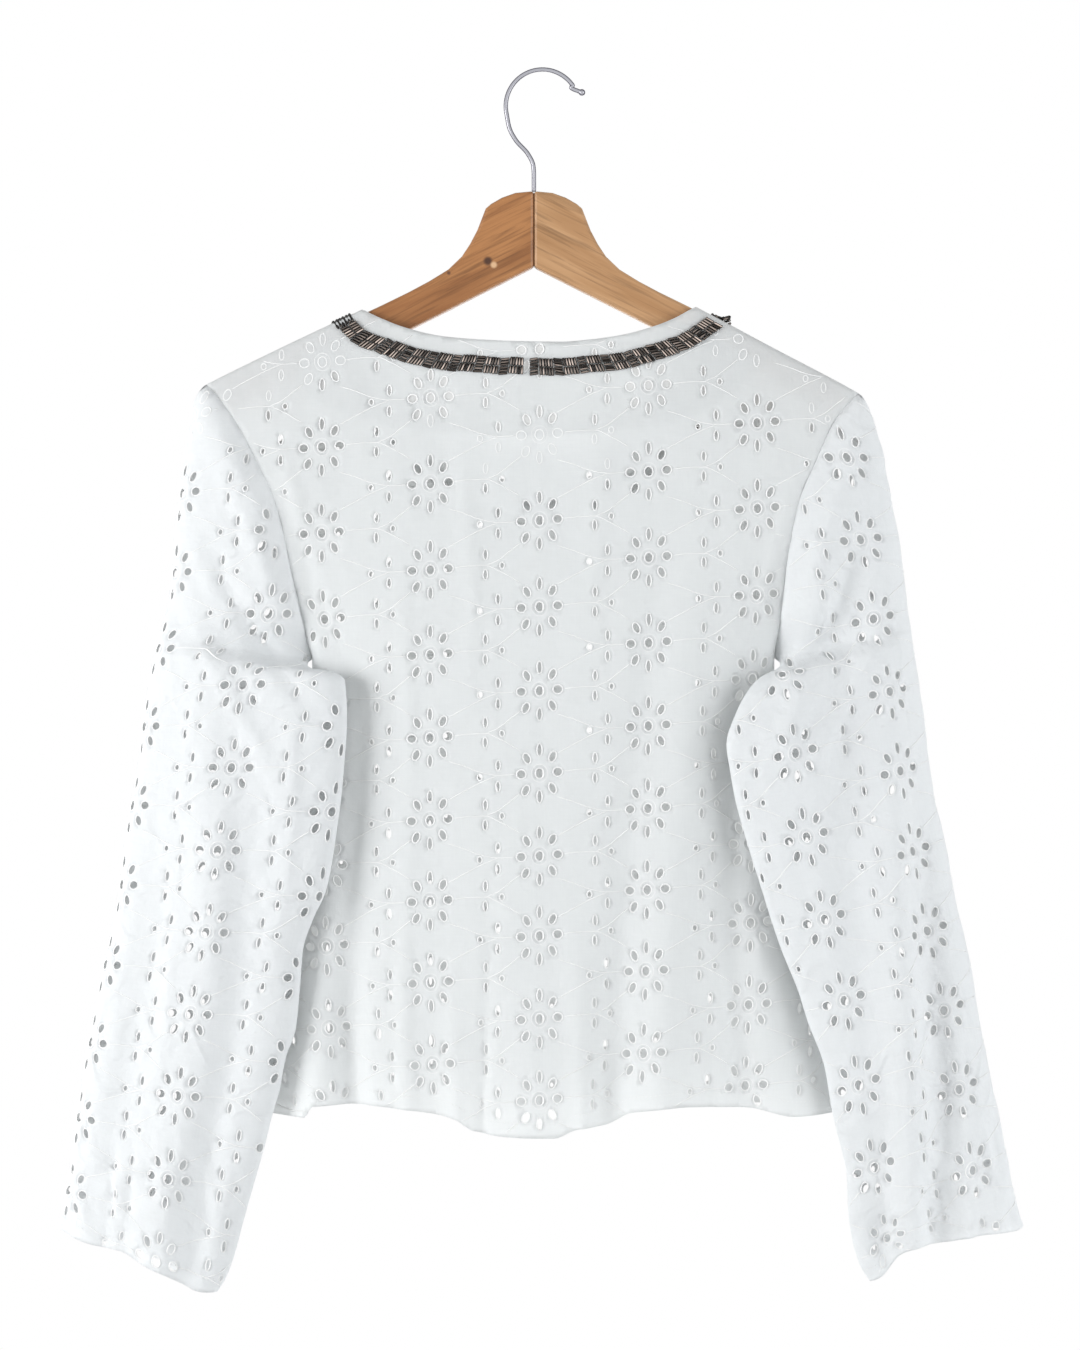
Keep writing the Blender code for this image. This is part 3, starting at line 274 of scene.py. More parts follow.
# How far above the cuff its line is felt.
CUFF_REACH = 70.0
SLEEVE_FOLDS = {
    (Hand.LEFT, Side.BACK): (
        (11, ((236, -226, 0), (214, -265, 3.5), (190, -308, 4), (176, -345, 0))),
        (15, (
            (243, -350, 0), (232, -450, 4), (225, -560, 5),
            (236, -680, 4), (262, -790, 5), (266, -845, 5),
        )),
        (14, ((200, -420, 0), (196, -520, -4), (203, -620, -4), (222, -730, -5), (240, -845, -4))),
        (13, ((262, -420, 0), (266, -520, -3.5), (278, -640, -4), (296, -760, -4), (300, -845, -3))),
    ),
    (Hand.LEFT, Side.FRONT): (
        (16, ((230, -380, 0), (232, -520, 5), (250, -700, 5), (270, -845, 5))),
        (14, ((256, -420, 0), (262, -560, -4), (282, -720, -4), (300, -845, -4))),
    ),
    (Hand.RIGHT, Side.BACK): (
        (13, ((190, -320, 0), (180, -380, 5), (166, -450, 6), (158, -500, 0))),
        (13, (
            (236, -310, 0), (240, -420, 4), (243, -560, 5),
            (245, -700, 6), (251, -800, 7), (252, -845, 7),
        )),
        (12, ((258, -400, 0), (262, -520, -5), (266, -640, -6), (270, -760, -6), (272, -845, -5))),
        (12, (
            (214, -300, 0), (206, -400, -4), (204, -500, -4),
            (216, -620, -4), (228, -740, -5), (233, -845, -7),
        )),
    ),
    (Hand.RIGHT, Side.FRONT): (
        (16, ((226, -380, 0), (230, -520, 5), (252, -700, 5), (270, -845, 5))),
        (14, ((252, -420, 0), (258, -560, -4), (280, -720, -4), (300, -845, -4))),
    ),
}
SLEEVE_CREASES = {
    (Hand.LEFT, Side.BACK): (
        (6, ((230, -252, 0), (208, -300, 1.7), (184, -352, 2.3), (160, -402, 1.2), (146, -428, 0))),
        (6, ((240, -296, 0), (217, -350, -1.8), (192, -394, -2.4), (162, -432, -1.2), (148, -452, 0))),
        (6, ((250, -350, 0), (228, -400, 1.3), (200, -452, 1.6), (172, -500, 0))),
        (4, ((172, -430, 0), (168, -500, 1.2), (176, -570, 1.0), (190, -640, 0))),
        (4, ((250, -560, 0), (254, -640, 1.0), (262, -700, 0))),
        (4, ((206, -700, 0), (216, -740, 1.5), (224, -800, 1.8), (236, -845, 1.2))),
        (4, ((286, -700, 0), (288, -760, 1.4), (296, -845, 1.2))),
    ),
    (Hand.LEFT, Side.FRONT): (
        (5, ((214, -300, 0), (196, -350, 1.4), (178, -400, 0))),
        (5, ((200, -420, 0), (206, -560, 1.4), (228, -700, 1.2), (240, -845, 1.6))),
    ),
    (Hand.RIGHT, Side.BACK): (
        (6, ((214, -256, 0), (198, -300, 1.6), (182, -350, 2.1), (164, -402, 1.2), (146, -432, 0))),
        (6, ((228, -296, 0), (209, -350, -1.7), (187, -400, -2.2), (160, -440, -1.0), (148, -462, 0))),
        (6, ((240, -350, 0), (220, -402, 1.2), (194, -456, 1.5), (166, -505, 0))),
        (4, ((150, -440, 0), (150, -480, 1.4), (166, -560, 1.0), (182, -620, 0))),
        (4, ((222, -640, 0), (226, -700, 1.3), (230, -760, 0))),
        (4, ((282, -620, 0), (286, -700, 1.2), (292, -790, 1.5), (296, -845, 1.0))),
        (4, ((258, -740, 0), (262, -790, -1.4), (264, -845, -1.8))),
    ),
    (Hand.RIGHT, Side.FRONT): (
        (5, ((210, -300, 0), (192, -350, 1.4), (176, -400, 0))),
        (5, ((196, -420, 0), (206, -560, 1.2), (226, -700, 1.4), (238, -845, 1.4))),
    ),
}
# The facing's lower edge, as x and z.
FACING_LOWER = (
    (-168, -200), (-163, -219), (-142, -234), (-105, -245), (-55, -251), (-5, -253), (45, -250),
    (88, -242), (122, -229), (140, -213), (145, -198),
)
# The strip of the back between the facing's lower edge and the front's neckline, where the room would shine
# through open eyelets.
UNLINED = (
    ("x", "top", "bottom"),
    (
        (-98, -238, -232), (-79, -242, -253), (-50, -246, -273), (0, -248, -287),
        (48, -245, -273), (73, -240, -253), (90, -236, -232),
    ),
)

# The broderie pattern: flowers in columns, each column set lower than the one to its left. The front's are
# shifted against the back's, and a sleeve's are laid from the one that shows best.
COLUMN_PITCH, COLUMN_DROP, ROW_PITCH = 74.5, 24.2, 56.5
CENTRE_COLUMN_X = -2.0
COLUMNS, ROWS = range(-4, 5), range(-3, 17)
CENTRE_COLUMN_Z = (-75, -134, -193, -252, -311, -370, -427, -483, -539, -593, -649, -704, -760, -816)
FRONT_SHIFT_U, FRONT_SHIFT_V = 34.0, 27.0
SLEEVE_FLOWER = {Hand.LEFT: (203, -423), Hand.RIGHT: (171, -469)}
SLEEVE_COLUMNS, SLEEVE_ROWS = range(-6, 7), range(-14, 15)


class Eyelet(NamedTuple):
    """An eyelet's place in its flower, across and up, its size, its lean in degrees and its sides' number."""

    across: float
    up: float
    wide: float
    tall: float
    lean: float
    sides: int


EYELETS = (
    Eyelet(0, 0, 5.0, 6.2, 0, 16),
    Eyelet(0, 15.9, 2.7, 7.6, 0, 12),
    Eyelet(0, -15.8, 2.7, 7.6, 0, 12),
    Eyelet(8.8, 11.3, 3.9, 6.8, 24, 14),
    Eyelet(8.8, -9.9, 3.9, 6.8, -24, 14),
    Eyelet(-9.4, -11.7, 3.9, 6.8, 24, 14),
    Eyelet(-8.6, 10.1, 3.9, 6.8, -24, 14),
    Eyelet(12.4, 1.1, 5.7, 5.2, 0, 14),
    Eyelet(-12.4, -0.7, 5.7, 5.2, 0, 14),
    Eyelet(37.7, 10.4, 2.2, 6.2, 0, 12),
    Eyelet(37.6, -3.2, 2.2, 6.2, 0, 12),
    Eyelet(49.0, 3.1, 2.5, 3.4, 0, 10),
    Eyelet(-28.2, 5.2, 2.2, 6.2, 0, 12),
    Eyelet(-28.2, -9.0, 2.2, 6.2, 0, 12),
    Eyelet(-40.6, -2.8, 2.5, 3.4, 0, 10),
)
STEMS = (
    ((15.6, 1.4), (26, 2.6), (37.9, 3.0), (47, -0.6), (62, -9)),
    ((37.9, 3.0), (46, 6.5), (54, 12.6), (62.6, 19.3)),
    ((-15.6, -0.8), (-28, -1.4), (-40, 0.6), (-52, 5), (-63, 8.3)),
    ((-28, -1.4), (-38, -5.4), (-50, -11.5), (-63, -18.6)),
)
STEM_WIDE, STEM_HIGH, STEM_STEP = 0.85, 0.42, 3.0
# How small a thread's ends are, and how high over the middle of the cloth its edges lie.
THREAD_END, THREAD_SUNK = 0.15, 0.18
STITCH_PITCH, STITCH_GAP, STITCH_WIDE, STITCH_HIGH, STITCH_ROOM = 3.1, 0.28, 0.5, 0.28, 0.3
RIM_WIDE, RIM_HIGH = 1.1, 0.65
RING_RADIUS, RING_TALLER, RING_WIDE, RING_HIGH, RING_SIDES = 5.6, 1.08, 0.8, 0.42, 24
EYELET_ROOM = 1.2
# How far below the shoulder seam the first open eyelets are, past the hanger's arm.
CLOSED_DROP = 32.0
# How many of a rim's sides the cut edge under it needs, and how many it has at least.
HOLE_SHARE, HOLE_SIDES = 0.7, 8

# Which part of the back's neckline the facing is sewn to.
FACING_NECK = (-110, 90)
HOOK_STEM = ((-5.9, -82.7), (-5.9, -72), (-6.3, -65), (-9.9, -57), (-18.5, -47.1), (-22.9, -38.5))
HOOK_NIB = ((19.7, -10.8), (21.6, -12.2), (23.6, -13), (25.5, -13.7))
# How far below the neckline the band of beads starts and ends.
TRIM_NEAR, TRIM_FAR = 11.5, 23.5
# The beads at the back of the neck run in two lengths, with a small gap just left of its middle.
BACK_BEAD_RUNS = ((0.0, 0.492), (0.499, 1.0))
FRONT_BEAD_RUNS = ((0.0, 0.995),)
# Where the band's two edges cross each shoulder seam.
TRIM_ENDS = {Hand.LEFT: (-132.0, -145.0), Hand.RIGHT: (115.5, 128.5)}
# How much higher and wider the creases are than their tables say.
CREASE_GAIN = (1.9, 1.2)
# The triangles' size inside a piece and along its edge, and how near points come to the edges and to holes.
GRID_STEP, EDGE_STEP = 3.8, 3.0
GRID_EDGE_ROOM, GRID_ROOM, GRID_CELL = 1.6, 1.7, 4
# How far from a seam or fold extra rows of points run, and how far apart their points are.
SIDE_RINGS = (1.2, 2.8, 5.0)
SHOULDER_RINGS = (0.3, 0.8, 1.6, 2.8, 4.5, 7.0, 10.0)
RING_STEP = 4

# How many points are measured against an outline at once.
AT_ONCE = 400

# Points nearer than this are one point: on the flat cloth, and on the hung one, as where a sleeve is closed.
CDT_NEAR, WELD = 1e-4, 0.02

Table = tuple[tuple[str, ...], tuple[tuple[float, ...], ...]]
Points = Sequence[tuple[float, float]]
Colour = tuple[float, float, float]


def smooth(at: np.ndarray | float, xs: Sequence[float], ys: Sequence[float]) -> np.ndarray:
    """Reads a smooth curve that passes through points and never overshoots them.

    Args:
        at: Where to read it. Beyond the ends the end value holds.
        xs: The points' keys, rising.
        ys: The points' values.

    Returns:
        The values at the given places.
    """
    xs, ys = np.asarray(xs, float), np.asarray(ys, float)
    rise = np.diff(ys) / np.diff(xs)
    slope = np.concatenate([rise[:1], np.zeros(len(xs) - 2), rise[-1:]])
    both = rise[:-1] * rise[1:]
    slope[1:-1] = np.where(both > 0, 2 * both / np.where(both > 0, rise[:-1] + rise[1:], 1), 0)
    at = np.clip(at, xs[0], xs[-1])
    i = np.clip(np.searchsorted(xs, at) - 1, 0, len(xs) - 2)
    span = xs[i + 1] - xs[i]
    t = (at - xs[i]) / span
    first = ys[i] * (1 + 2 * t) + slope[i] * span * t
    last = ys[i + 1] * (3 - 2 * t) + slope[i + 1] * span * (t - 1)
    return first * (1 - t) ** 2 + last * t**2


def read(table: Table, key: np.ndarray | float, column: str) -> np.ndarray:
    """Reads a column of a table whose first column is the key, by a smooth curve between the rows."""
    names, rows = table
    values = np.array(sorted(rows), float)
    return smooth(key, values[:, 0], values[:, names.index(column)])


def drawn(points: Points, step: float) -> np.ndarray:
    """A smooth line through points, with a point about every step.

    Args:
        points: The points that it passes through.
        step: The distance between the points returned.

    Returns:
        Points along the line, one row each.
    """
    through = np.array(points, float)
    along = np.concatenate([[0], np.cumsum(np.linalg.norm(np.diff(through, axis=0), axis=1))])
    at = np.linspace(0, along[-1], max(2, round(along[-1] / step) + 1))
    return np.stack([smooth(at, along, through[:, axis]) for axis in range(through.shape[1])], axis=1)


def fold_height(folds: tuple, x: np.ndarray, z: np.ndarray) -> np.ndarray:
    """How far all the folds together lift the cloth at points x, z."""
    total = np.zeros(np.broadcast(x, z).shape)
    for half_width, path in folds:
        crest = np.array(sorted(path, key=lambda point: point[1]), float)
        centre = smooth(z, crest[:, 1], crest[:, 0])
        rise = smooth(z, crest[:, 1], crest[:, 2])
        total = total + rise * np.exp(-(((x - centre) / half_width) ** 2))
    return total


def deeper(creases: tuple) -> tuple:
    """Creases with their heights and widths as they are on the cloth."""
    rise, wide = CREASE_GAIN
    return tuple((half * wide, tuple((x, z, high * rise) for x, z, high in path)) for half, path in creases)


class Sheet:
    """A hung surface read by flat position: u is the distance along a row from its origin, v is the row."""

    def __init__(self, rows: np.ndarray, curves: list[np.ndarray], origins: list[int]) -> None:
        """Lays each row out evenly by length.

        Args:
            rows: v of each row.
            curves: Each row's points in space.
            origins: The index of the point where u is 0 in each row.
        """
        self.rows = rows
        share = np.linspace(0, 1, CURVE_SAMPLES)
        self.lengths = np.zeros((len(rows), 2))
        self.grid = np.zeros((len(rows), 2, CURVE_SAMPLES, 3))
        for index, (curve, origin) in enumerate(zip(curves, origins)):
            for half, part in enumerate((curve[origin::-1], curve[origin:])):
                along = np.concatenate([[0], np.cumsum(np.linalg.norm(np.diff(part, axis=0), axis=1))])
                self.lengths[index, half] = along[-1]
                for axis in range(3):
                    self.grid[index, half, :, axis] = np.interp(share * along[-1], along, part[:, axis])

    def length(self, v: np.ndarray | float, half: int) -> np.ndarray:
        """The length of the row at v, before (0) or after (1) its origin."""
        return np.interp(v, self.rows, self.lengths[:, half])

    def at(self, u: np.ndarray, v: np.ndarray) -> np.ndarray:
        """The points in space at flat positions."""
        u, v = np.broadcast_arrays(np.asarray(u, float), np.asarray(v, float))
        half = (u >= 0).astype(int)
        length = np.where(half == 1, self.length(v, 1), self.length(v, 0))
        across = np.clip(np.abs(u) / np.maximum(length, 1e-6), 0, 1) * (CURVE_SAMPLES - 1)
        last = len(self.rows) - JUST_OVER_ONE
        down = np.clip(np.interp(v, self.rows, np.arange(len(self.rows))), 0, last)
        i, j = down.astype(int), np.minimum(across.astype(int), CURVE_SAMPLES - 2)
        a, b = (down - i)[..., None], (across - j)[..., None]
        upper = self.grid[i, half, j] * (1 - b) + self.grid[i, half, j + 1] * b
        lower = self.grid[i + 1, half, j] * (1 - b) + self.grid[i + 1, half, j + 1] * b
        return upper * (1 - a) + lower * a


class Wrinkles:
    """Smooth irregular rises, from -1 to 1, that are the same in each run."""

    # How many rises there are each way before they repeat, and a shift that keeps their numbers above 0.
    count = 64
    start = 1000

    def __init__(self, seed: int, wide: float, long: float) -> None:
        """Keeps how wide and how long the rises are."""
        self.size = (wide, long)
        self.values = np.random.default_rng(seed).uniform(-1, 1, (self.count, self.count))

    def at(self, u: np.ndarray, v: np.ndarray) -> np.ndarray:
        """The rises at flat positions."""
        x, y = u / self.size[0] + self.start, v / self.size[1] + self.start
        i, j = np.floor(x).astype(int), np.floor(y).astype(int)
        a, b = (part * part * (3 - 2 * part) for part in (x - i, y - j))
        i, j, near_i, near_j = (part % self.count for part in (i, j, i + 1, j + 1))
        upper = self.values[i, j] * (1 - a) + self.values[near_i, j] * a
        lower = self.values[i, near_j] * (1 - a) + self.values[near_i, near_j] * a
        return upper * (1 - b) + lower * b


def ramp(distance: np.ndarray, reach: float) -> np.ndarray:
    """Rises smoothly from 0 to 1 over a distance."""
    share = np.clip(distance / reach, 0, 1)
    return share * share * (3 - 2 * share)


class Surface:
    """A hung piece of cloth: where each flat position is in space, and which way it faces."""

    reach = 0.6
    outward = 1.0
    puckers = Wrinkles(3, 9.0, 13.0)
    ripples = Wrinkles(5, 23.0, 47.0)

    def form(self, u: np.ndarray, v: np.ndarray) -> np.ndarray:
        """The points at flat positions, before small wrinkles."""
        raise NotImplementedError

    def relief(self, u: np.ndarray, v: np.ndarray) -> np.ndarray:
        """How far small wrinkles lift the cloth at flat positions."""
        raise NotImplementedError

    def square(self, u: np.ndarray, v: np.ndarray, small: bool) -> np.ndarray:
        """The unit directions out of the garment at flat positions, with or without its small wrinkles."""
        read_at = self.point if small else self.form
        across = read_at(u + self.reach, v) - read_at(u - self.reach, v)
        down = read_at(u, v + self.reach) - read_at(u, v - self.reach)
        found = np.cross(across, down)
        return found * self.outward / np.maximum(np.linalg.norm(found, axis=-1, keepdims=True), 1e-12)

    def point(self, u: np.ndarray, v: np.ndarray) -> np.ndarray:
        """The points in space at flat positions."""
        return self.form(u, v) + self.square(u, v, False) * self.relief(u, v)[..., None]

    def normal(self, u: np.ndarray, v: np.ndarray) -> np.ndarray:
        """The unit directions out of the garment at flat positions."""
        return self.square(u, v, True)

    def is_open(self, flat: np.ndarray) -> bool:
        """Whether an eyelet is cut through: those over the hanger's arm look closed from outside."""
        x, _, z = self.form(flat[0], flat[1])
        return bool(read(SHOULDER, x, "z") - z > CLOSED_DROP)

    def lifted(self, flat: np.ndarray, height: np.ndarray | float) -> np.ndarray:
        """The points at flat positions (last axis u, v), moved out of the garment by a height."""
        u, v = flat[..., 0], flat[..., 1]
        return self.point(u, v) + self.normal(u, v) * np.asarray(height)[..., None]


class BodySurface(Surface):
    """The whole back or front of the body, which panels are cut from."""

    # How far from the side seams and the shoulder seam small wrinkles are at their full height.
    side_calm = 14
    shoulder_calm = 22
    # The rises of puckers and ripples, and how much more ripples rise past a drop, over a reach.
    pucker_rise = 0.3
    ripple_rise = 0.45
    low_rise = 0.6
    low_drop = 560
    low_reach = 160

    def __init__(self, side: Side) -> None:
        """Builds the surface row by row for one side."""
        self.side = side
        rows = np.arange(*BODY_DROPS, ROW_STEP)
        angle = np.linspace(-math.pi / 2, math.pi / 2, BODY_SAMPLES)
        power = 2 / BODY_ROUNDNESS
        folds = BODY_FOLDS[side] + deeper(BODY_CREASES[side])
        curves = []
        for v in rows:
            width = np.where(angle < 0, read(BODY, -v, "left"), read(BODY, -v, "right"))
            reach = np.abs(np.sin(angle)) ** power * np.sign(angle)
            x = width * reach
            y = read(BODY, -v, side.name.lower()) * np.abs(np.cos(angle)) ** power
            y = y + fold_height(folds, x, np.full(BODY_SAMPLES, -v)) * (1 - np.abs(reach) ** FOLD_FADE)
            curves.append(np.stack([x, side * y, np.full(BODY_SAMPLES, -v)], axis=1))
        self.sheet = Sheet(rows, curves, [BODY_SAMPLES // 2] * len(rows))
        self.outward = float(side * np.sign(self.square(np.array([0.0]), np.array([500.0]), False)[0, 1]))

    def relief(self, u: np.ndarray, v: np.ndarray) -> np.ndarray:
        """How far small wrinkles lift the cloth at flat positions; none at the sewn edges."""
        width = np.where(u >= 0, self.sheet.length(v, 1), self.sheet.length(v, 0))
        seen = self.sheet.at(u, v)
        drop = read(SHOULDER, seen[..., 0], "z") - seen[..., 2]
        calm = ramp(width - np.abs(u), self.side_calm) * ramp(drop, self.shoulder_calm)
        low = ramp(v - self.low_drop, self.low_reach)
        rippled = (self.ripple_rise + self.low_rise * low) * self.ripples.at(u, v)
        return calm * (self.pucker_rise * self.puckers.at(u, v) + rippled)

    def is_open(self, flat: np.ndarray) -> bool:
        """Whether an eyelet is cut through: the back's look closed too where the room would shine in."""
        x, _, z = self.form(flat[0], flat[1])
        low, high = read(UNLINED, x, "bottom"), read(UNLINED, x, "top")
        first, last = UNLINED[1][0][0], UNLINED[1][-1][0]
        shines = self.side == Side.BACK and first < x < last and low < z < high
        return super().is_open(flat) and not shines

    def form(self, u: np.ndarray, v: np.ndarray) -> np.ndarray:
        """The points at flat positions, brought in over the hanger's arm near the shoulder seam."""
        points = self.sheet.at(u, v)
        drop = read(SHOULDER, points[..., 0], "z") - points[..., 2]
        off = read(OVER_ARM, np.maximum(drop, 0), "off")
        free = np.abs(points[..., 1])
        soft = ARM_SOFTNESS * np.clip(drop / ARM_DROP, 0, 1)
        near = np.minimum(off, free) - soft * np.log1p(np.exp(-np.abs(off - free) / ARM_SOFTNESS))
        points[..., 1] = self.side * np.maximum(near, EDGE_OFF)
        return points

    def flat(self, points: Points) -> np.ndarray:
        """The flat positions of points seen at x, z, each on its own level row."""
        found = []
        for x, z in points:
            hand = 1 if x >= 0 else -1
            u = np.linspace(0, self.sheet.length(-z, int(x >= 0)), SCAN_SAMPLES)
            seen = np.abs(self.sheet.at(u * hand, np.full(SCAN_SAMPLES, -z))[:, 0])
            found.append((hand * float(np.interp(abs(x), seen, u)), -z))
        return np.array(found)

    def side_end(self, v: float, hand: Hand) -> float:
        """The flat place u of the side seam at v."""
        return hand * float(self.sheet.length(v, int(hand == Hand.RIGHT)))


class SleeveHalf:
    """The back or front half of a sleeve: u runs inwards from its outer fold, v down it."""

    # How often a search for a flat position narrows, by how much, and how many rows and columns it tries.
    searches = 4
    narrowing = 25
    tried_rows = 61
    tried_columns = 121
    # Over how many rows below the armhole a front's form changes to the tucked one.
    tuck_rows = 4

    def __init__(self, hand: Hand, side: Side, body: BodySurface) -> None:
        """Builds the half from its rows.

        Args:
            hand: Which sleeve.
            side: Which half of it.
            body: The surface whose armhole it is sewn to.
        """
        stations = self.stations(hand, side, body)
        starts = np.array([station[0] for station in stations])
        ends = np.array([station[1] for station in stations])
        form = np.array([station[2:] for station in stations], float)
        middle = (starts + ends)[:, [0, 2]] / 2
        along = np.concatenate([[0], np.cumsum(np.linalg.norm(np.diff(middle, axis=0), axis=1))])
        self.last = float(along[-1])
        self.cap = float(along[len(TIP_STATIONS) + len(ARMHOLE[hand]) - 1])
        rows = np.unique(np.concatenate([np.arange(0, along[-1], ROW_STEP), along]))
        t = 0.5 - 0.5 * np.cos(np.linspace(0, math.pi, HALF_SAMPLES))
        cuff = np.array(CUFF[hand])
        folds = SLEEVE_FOLDS[hand, side] + deeper(SLEEVE_CREASES[hand, side])
        curves = []
        for v in rows:
            a = np.array([smooth(v, along, starts[:, axis]) for axis in range(3)])
            b = np.array([smooth(v, along, ends[:, axis]) for axis in range(3)])
            cap, bulge, low = (float(np.interp(v, along, form[:, column])) for column in range(3))
            x = b[0] + (a[0] - b[0]) * t
            z = b[2] + (a[2] - b[2]) * t
            near_cuff = np.clip(1 - (along[-1] - v) / CUFF_REACH, 0, 1) ** 2
            line = ends[-1][2] + (starts[-1][2] - ends[-1][2]) * t
            z = z + near_cuff * (smooth(t, cuff[:, 0], cuff[:, 1]) - line)
            ease = cap * np.sqrt(1 - (1 - t) ** CAP_ROUNDNESS) + (1 - cap) * t
            hump = np.maximum(4 * t * (1 - t), 0)
            lens = (1 - cap) * np.sqrt(hump) + cap * hump
            y = b[1] + (a[1] - b[1]) * ease + side * bulge * lens
            if side == Side.FRONT and low > 0:
                y = y * (1 - low) + self.tucked(a, b, t, bulge) * low
            lift = fold_height(folds, np.abs(x), z) * np.minimum(1, 5 * t * (1 - t)) ** SLEEVE_FOLD_FADE
            curves.append(np.stack([x, y + side * lift, z], axis=1))
        self.sheet = Sheet(rows, curves, [0] * len(rows))

    @staticmethod
    def tucked(a: np.ndarray, b: np.ndarray, t: np.ndarray, bulge: float) -> np.ndarray:
        """The y of a front row that tucks in behind the outer fold and bulges further in."""
        inward = 1 - t
        turn = np.clip(inward / TUCK_SHARE, 0, 1)
        turn = turn * turn * (3 - 2 * turn)
        width = np.hypot(a[0] - b[0], a[2] - b[2])
        nip = np.sqrt(1 - (1 - np.clip(inward * width / FOLD_RADIUS, 0, 1)) ** 2)
        y = b[1] + (a[1] - b[1]) * (1 - turn) + FOLD_RADIUS * nip * (1 - turn)
        return y + bulge * turn * np.sqrt(np.maximum(1 - inward**TUCK_ROUNDNESS, 0))

    @staticmethod
    def stations(hand: Hand, side: Side, body: BodySurface) -> list[tuple]:
        """Each row as (inner end, outer end, share of cap form, bulge, share of low form)."""
        last = len(ARMHOLE[hand]) - 1
        steps = np.array([0.0, *TIP_STATIONS, *range(1, last + 1)])
        line = np.stack([np.interp(steps, range(last + 1), column) for column in zip(*ARMHOLE[hand])], axis=1)
        seam = body.form(*body.flat([(hand * out, z) for out, z in line]).T)
        outer = np.array(sorted(SLEEVE_OUTER[hand]), float)
        rows = []
        for step, point, end_z in zip(steps, seam, np.interp(steps, range(last + 1), SLEEVE_CAP_ENDS[hand])):
            down = step / last
            gap = UNDERARM_ROOM * max(0, down - 0.5)
            end = (hand * smooth(end_z, outer[:, 0], outer[:, 1]), -CAP_DROP * down, end_z)
            y = 0.0 if step == last else point[1]
            bulge = CAP_BULGE + CAP_TIP_BULGE * max(0, 1 - 5 * down) + CAP_LOW_BULGE * down**3
            rows.append(((point[0] + hand * gap, y, point[2]), end, 1 - down**3, bulge, 0.0))
        for index, row in enumerate(FoldRow(*values) for values in SLEEVE_FOLD_ROWS[hand]):
            bulge = float(read(SLEEVE_BODY, row.inner_z, "bulge"))
            outer_y = float(read(SLEEVE_BODY, row.inner_z, "outer_y"))
            end = (hand * smooth(row.outer_z, outer[:, 0], outer[:, 1]), outer_y, row.outer_z)
            start = (hand * row.inner_out, row.inner_y, row.inner_z)
            rows.append((start, end, 0.0, bulge, min(1, (index + 0.5) / SleeveHalf.tuck_rows)))
        return rows

    def flat(self, x: float, z: float) -> tuple[float, float]:
        """The flat position of the surface point that is seen at x, z."""
        low, high, best = 0.0, self.last, 0.0
        share = np.linspace(0, 1, self.tried_columns)[None, :]
        for _ in range(self.searches):
            vs = np.linspace(low, high, self.tried_rows)
            us = share * self.sheet.length(vs, 1)[:, None]
            seen = self.sheet.at(us, np.repeat(vs[:, None], self.tried_columns, axis=1))
            miss = (seen[..., 0] - x) ** 2 + (seen[..., 2] - z) ** 2
            best = float(vs[int(np.argmin(miss.min(axis=1)))])
            reach = (high - low) / self.narrowing
            low, high = best - reach, best + reach
        u = np.linspace(0, float(self.sheet.length(best, 1)), SCAN_SAMPLES)
        seen = self.sheet.at(u, np.full(SCAN_SAMPLES, best))
        return float(u[np.argmin(np.abs(seen[:, 0] - x))]), best


class SleeveSurface(Surface):
    """A whole sleeve opened out flat: u is 0 on its outer fold, more on its back and less on its front."""

    # How far from the underarm and the armhole small wrinkles are at their full height.
    side_calm = 14
    top_calm = 30
    # The rises of puckers, ripples and the ridges near the cuff, and where those start and are full.
    pucker_rise = 0.35
    ripple_rise = 0.9
    cuff_rise = 1.3
    cuff_above = 150
    cuff_reach = 130

    def __init__(self, hand: Hand, bodies: dict[Side, BodySurface]) -> None:
        """Builds both halves of one sleeve."""
        self.hand = hand
        self.back = SleeveHalf(hand, Side.BACK, bodies[Side.BACK])
        self.front = SleeveHalf(hand, Side.FRONT, bodies[Side.FRONT])
        self.crumples = Wrinkles(11 + hand, 13.0, 24.0)
        self.outward = -float(np.sign(self.square(np.array([60.0]), np.array([400.0]), False)[0, 1]))

    def relief(self, u: np.ndarray, v: np.ndarray) -> np.ndarray:
        """How far small wrinkles lift the cloth; none at the sewn edges, more at the cuff."""
        width = np.where(u >= 0, self.edge(v, Side.BACK), -self.edge(v, Side.FRONT))
        calm = ramp(width - np.abs(u), self.side_calm) * ramp(v, self.top_calm)
        cuff = ramp(v - self.back.last + self.cuff_above, self.cuff_reach)
        ridges = 1 - 2 * np.abs(self.crumples.at(u, v))
        small = self.pucker_rise * self.puckers.at(u, v) + self.ripple_rise * self.ripples.at(u, v)
        return calm * (small + self.cuff_rise * cuff * ridges)

    def form(self, u: np.ndarray, v: np.ndarray) -> np.ndarray:
        """The points at flat positions, before small wrinkles."""
        back = self.back.sheet.at(np.abs(u), v)
        front = self.front.sheet.at(np.abs(u), v)
        return np.where((u >= 0)[..., None], back, front)

    def edge(self, v: np.ndarray, side: Side) -> np.ndarray:
        """The flat place u of the sleeve's inner edge on one side."""
        half = self.back if side == Side.BACK else self.front
        return -side * half.sheet.length(v, 1)


Inputs = dict[int | str, object]


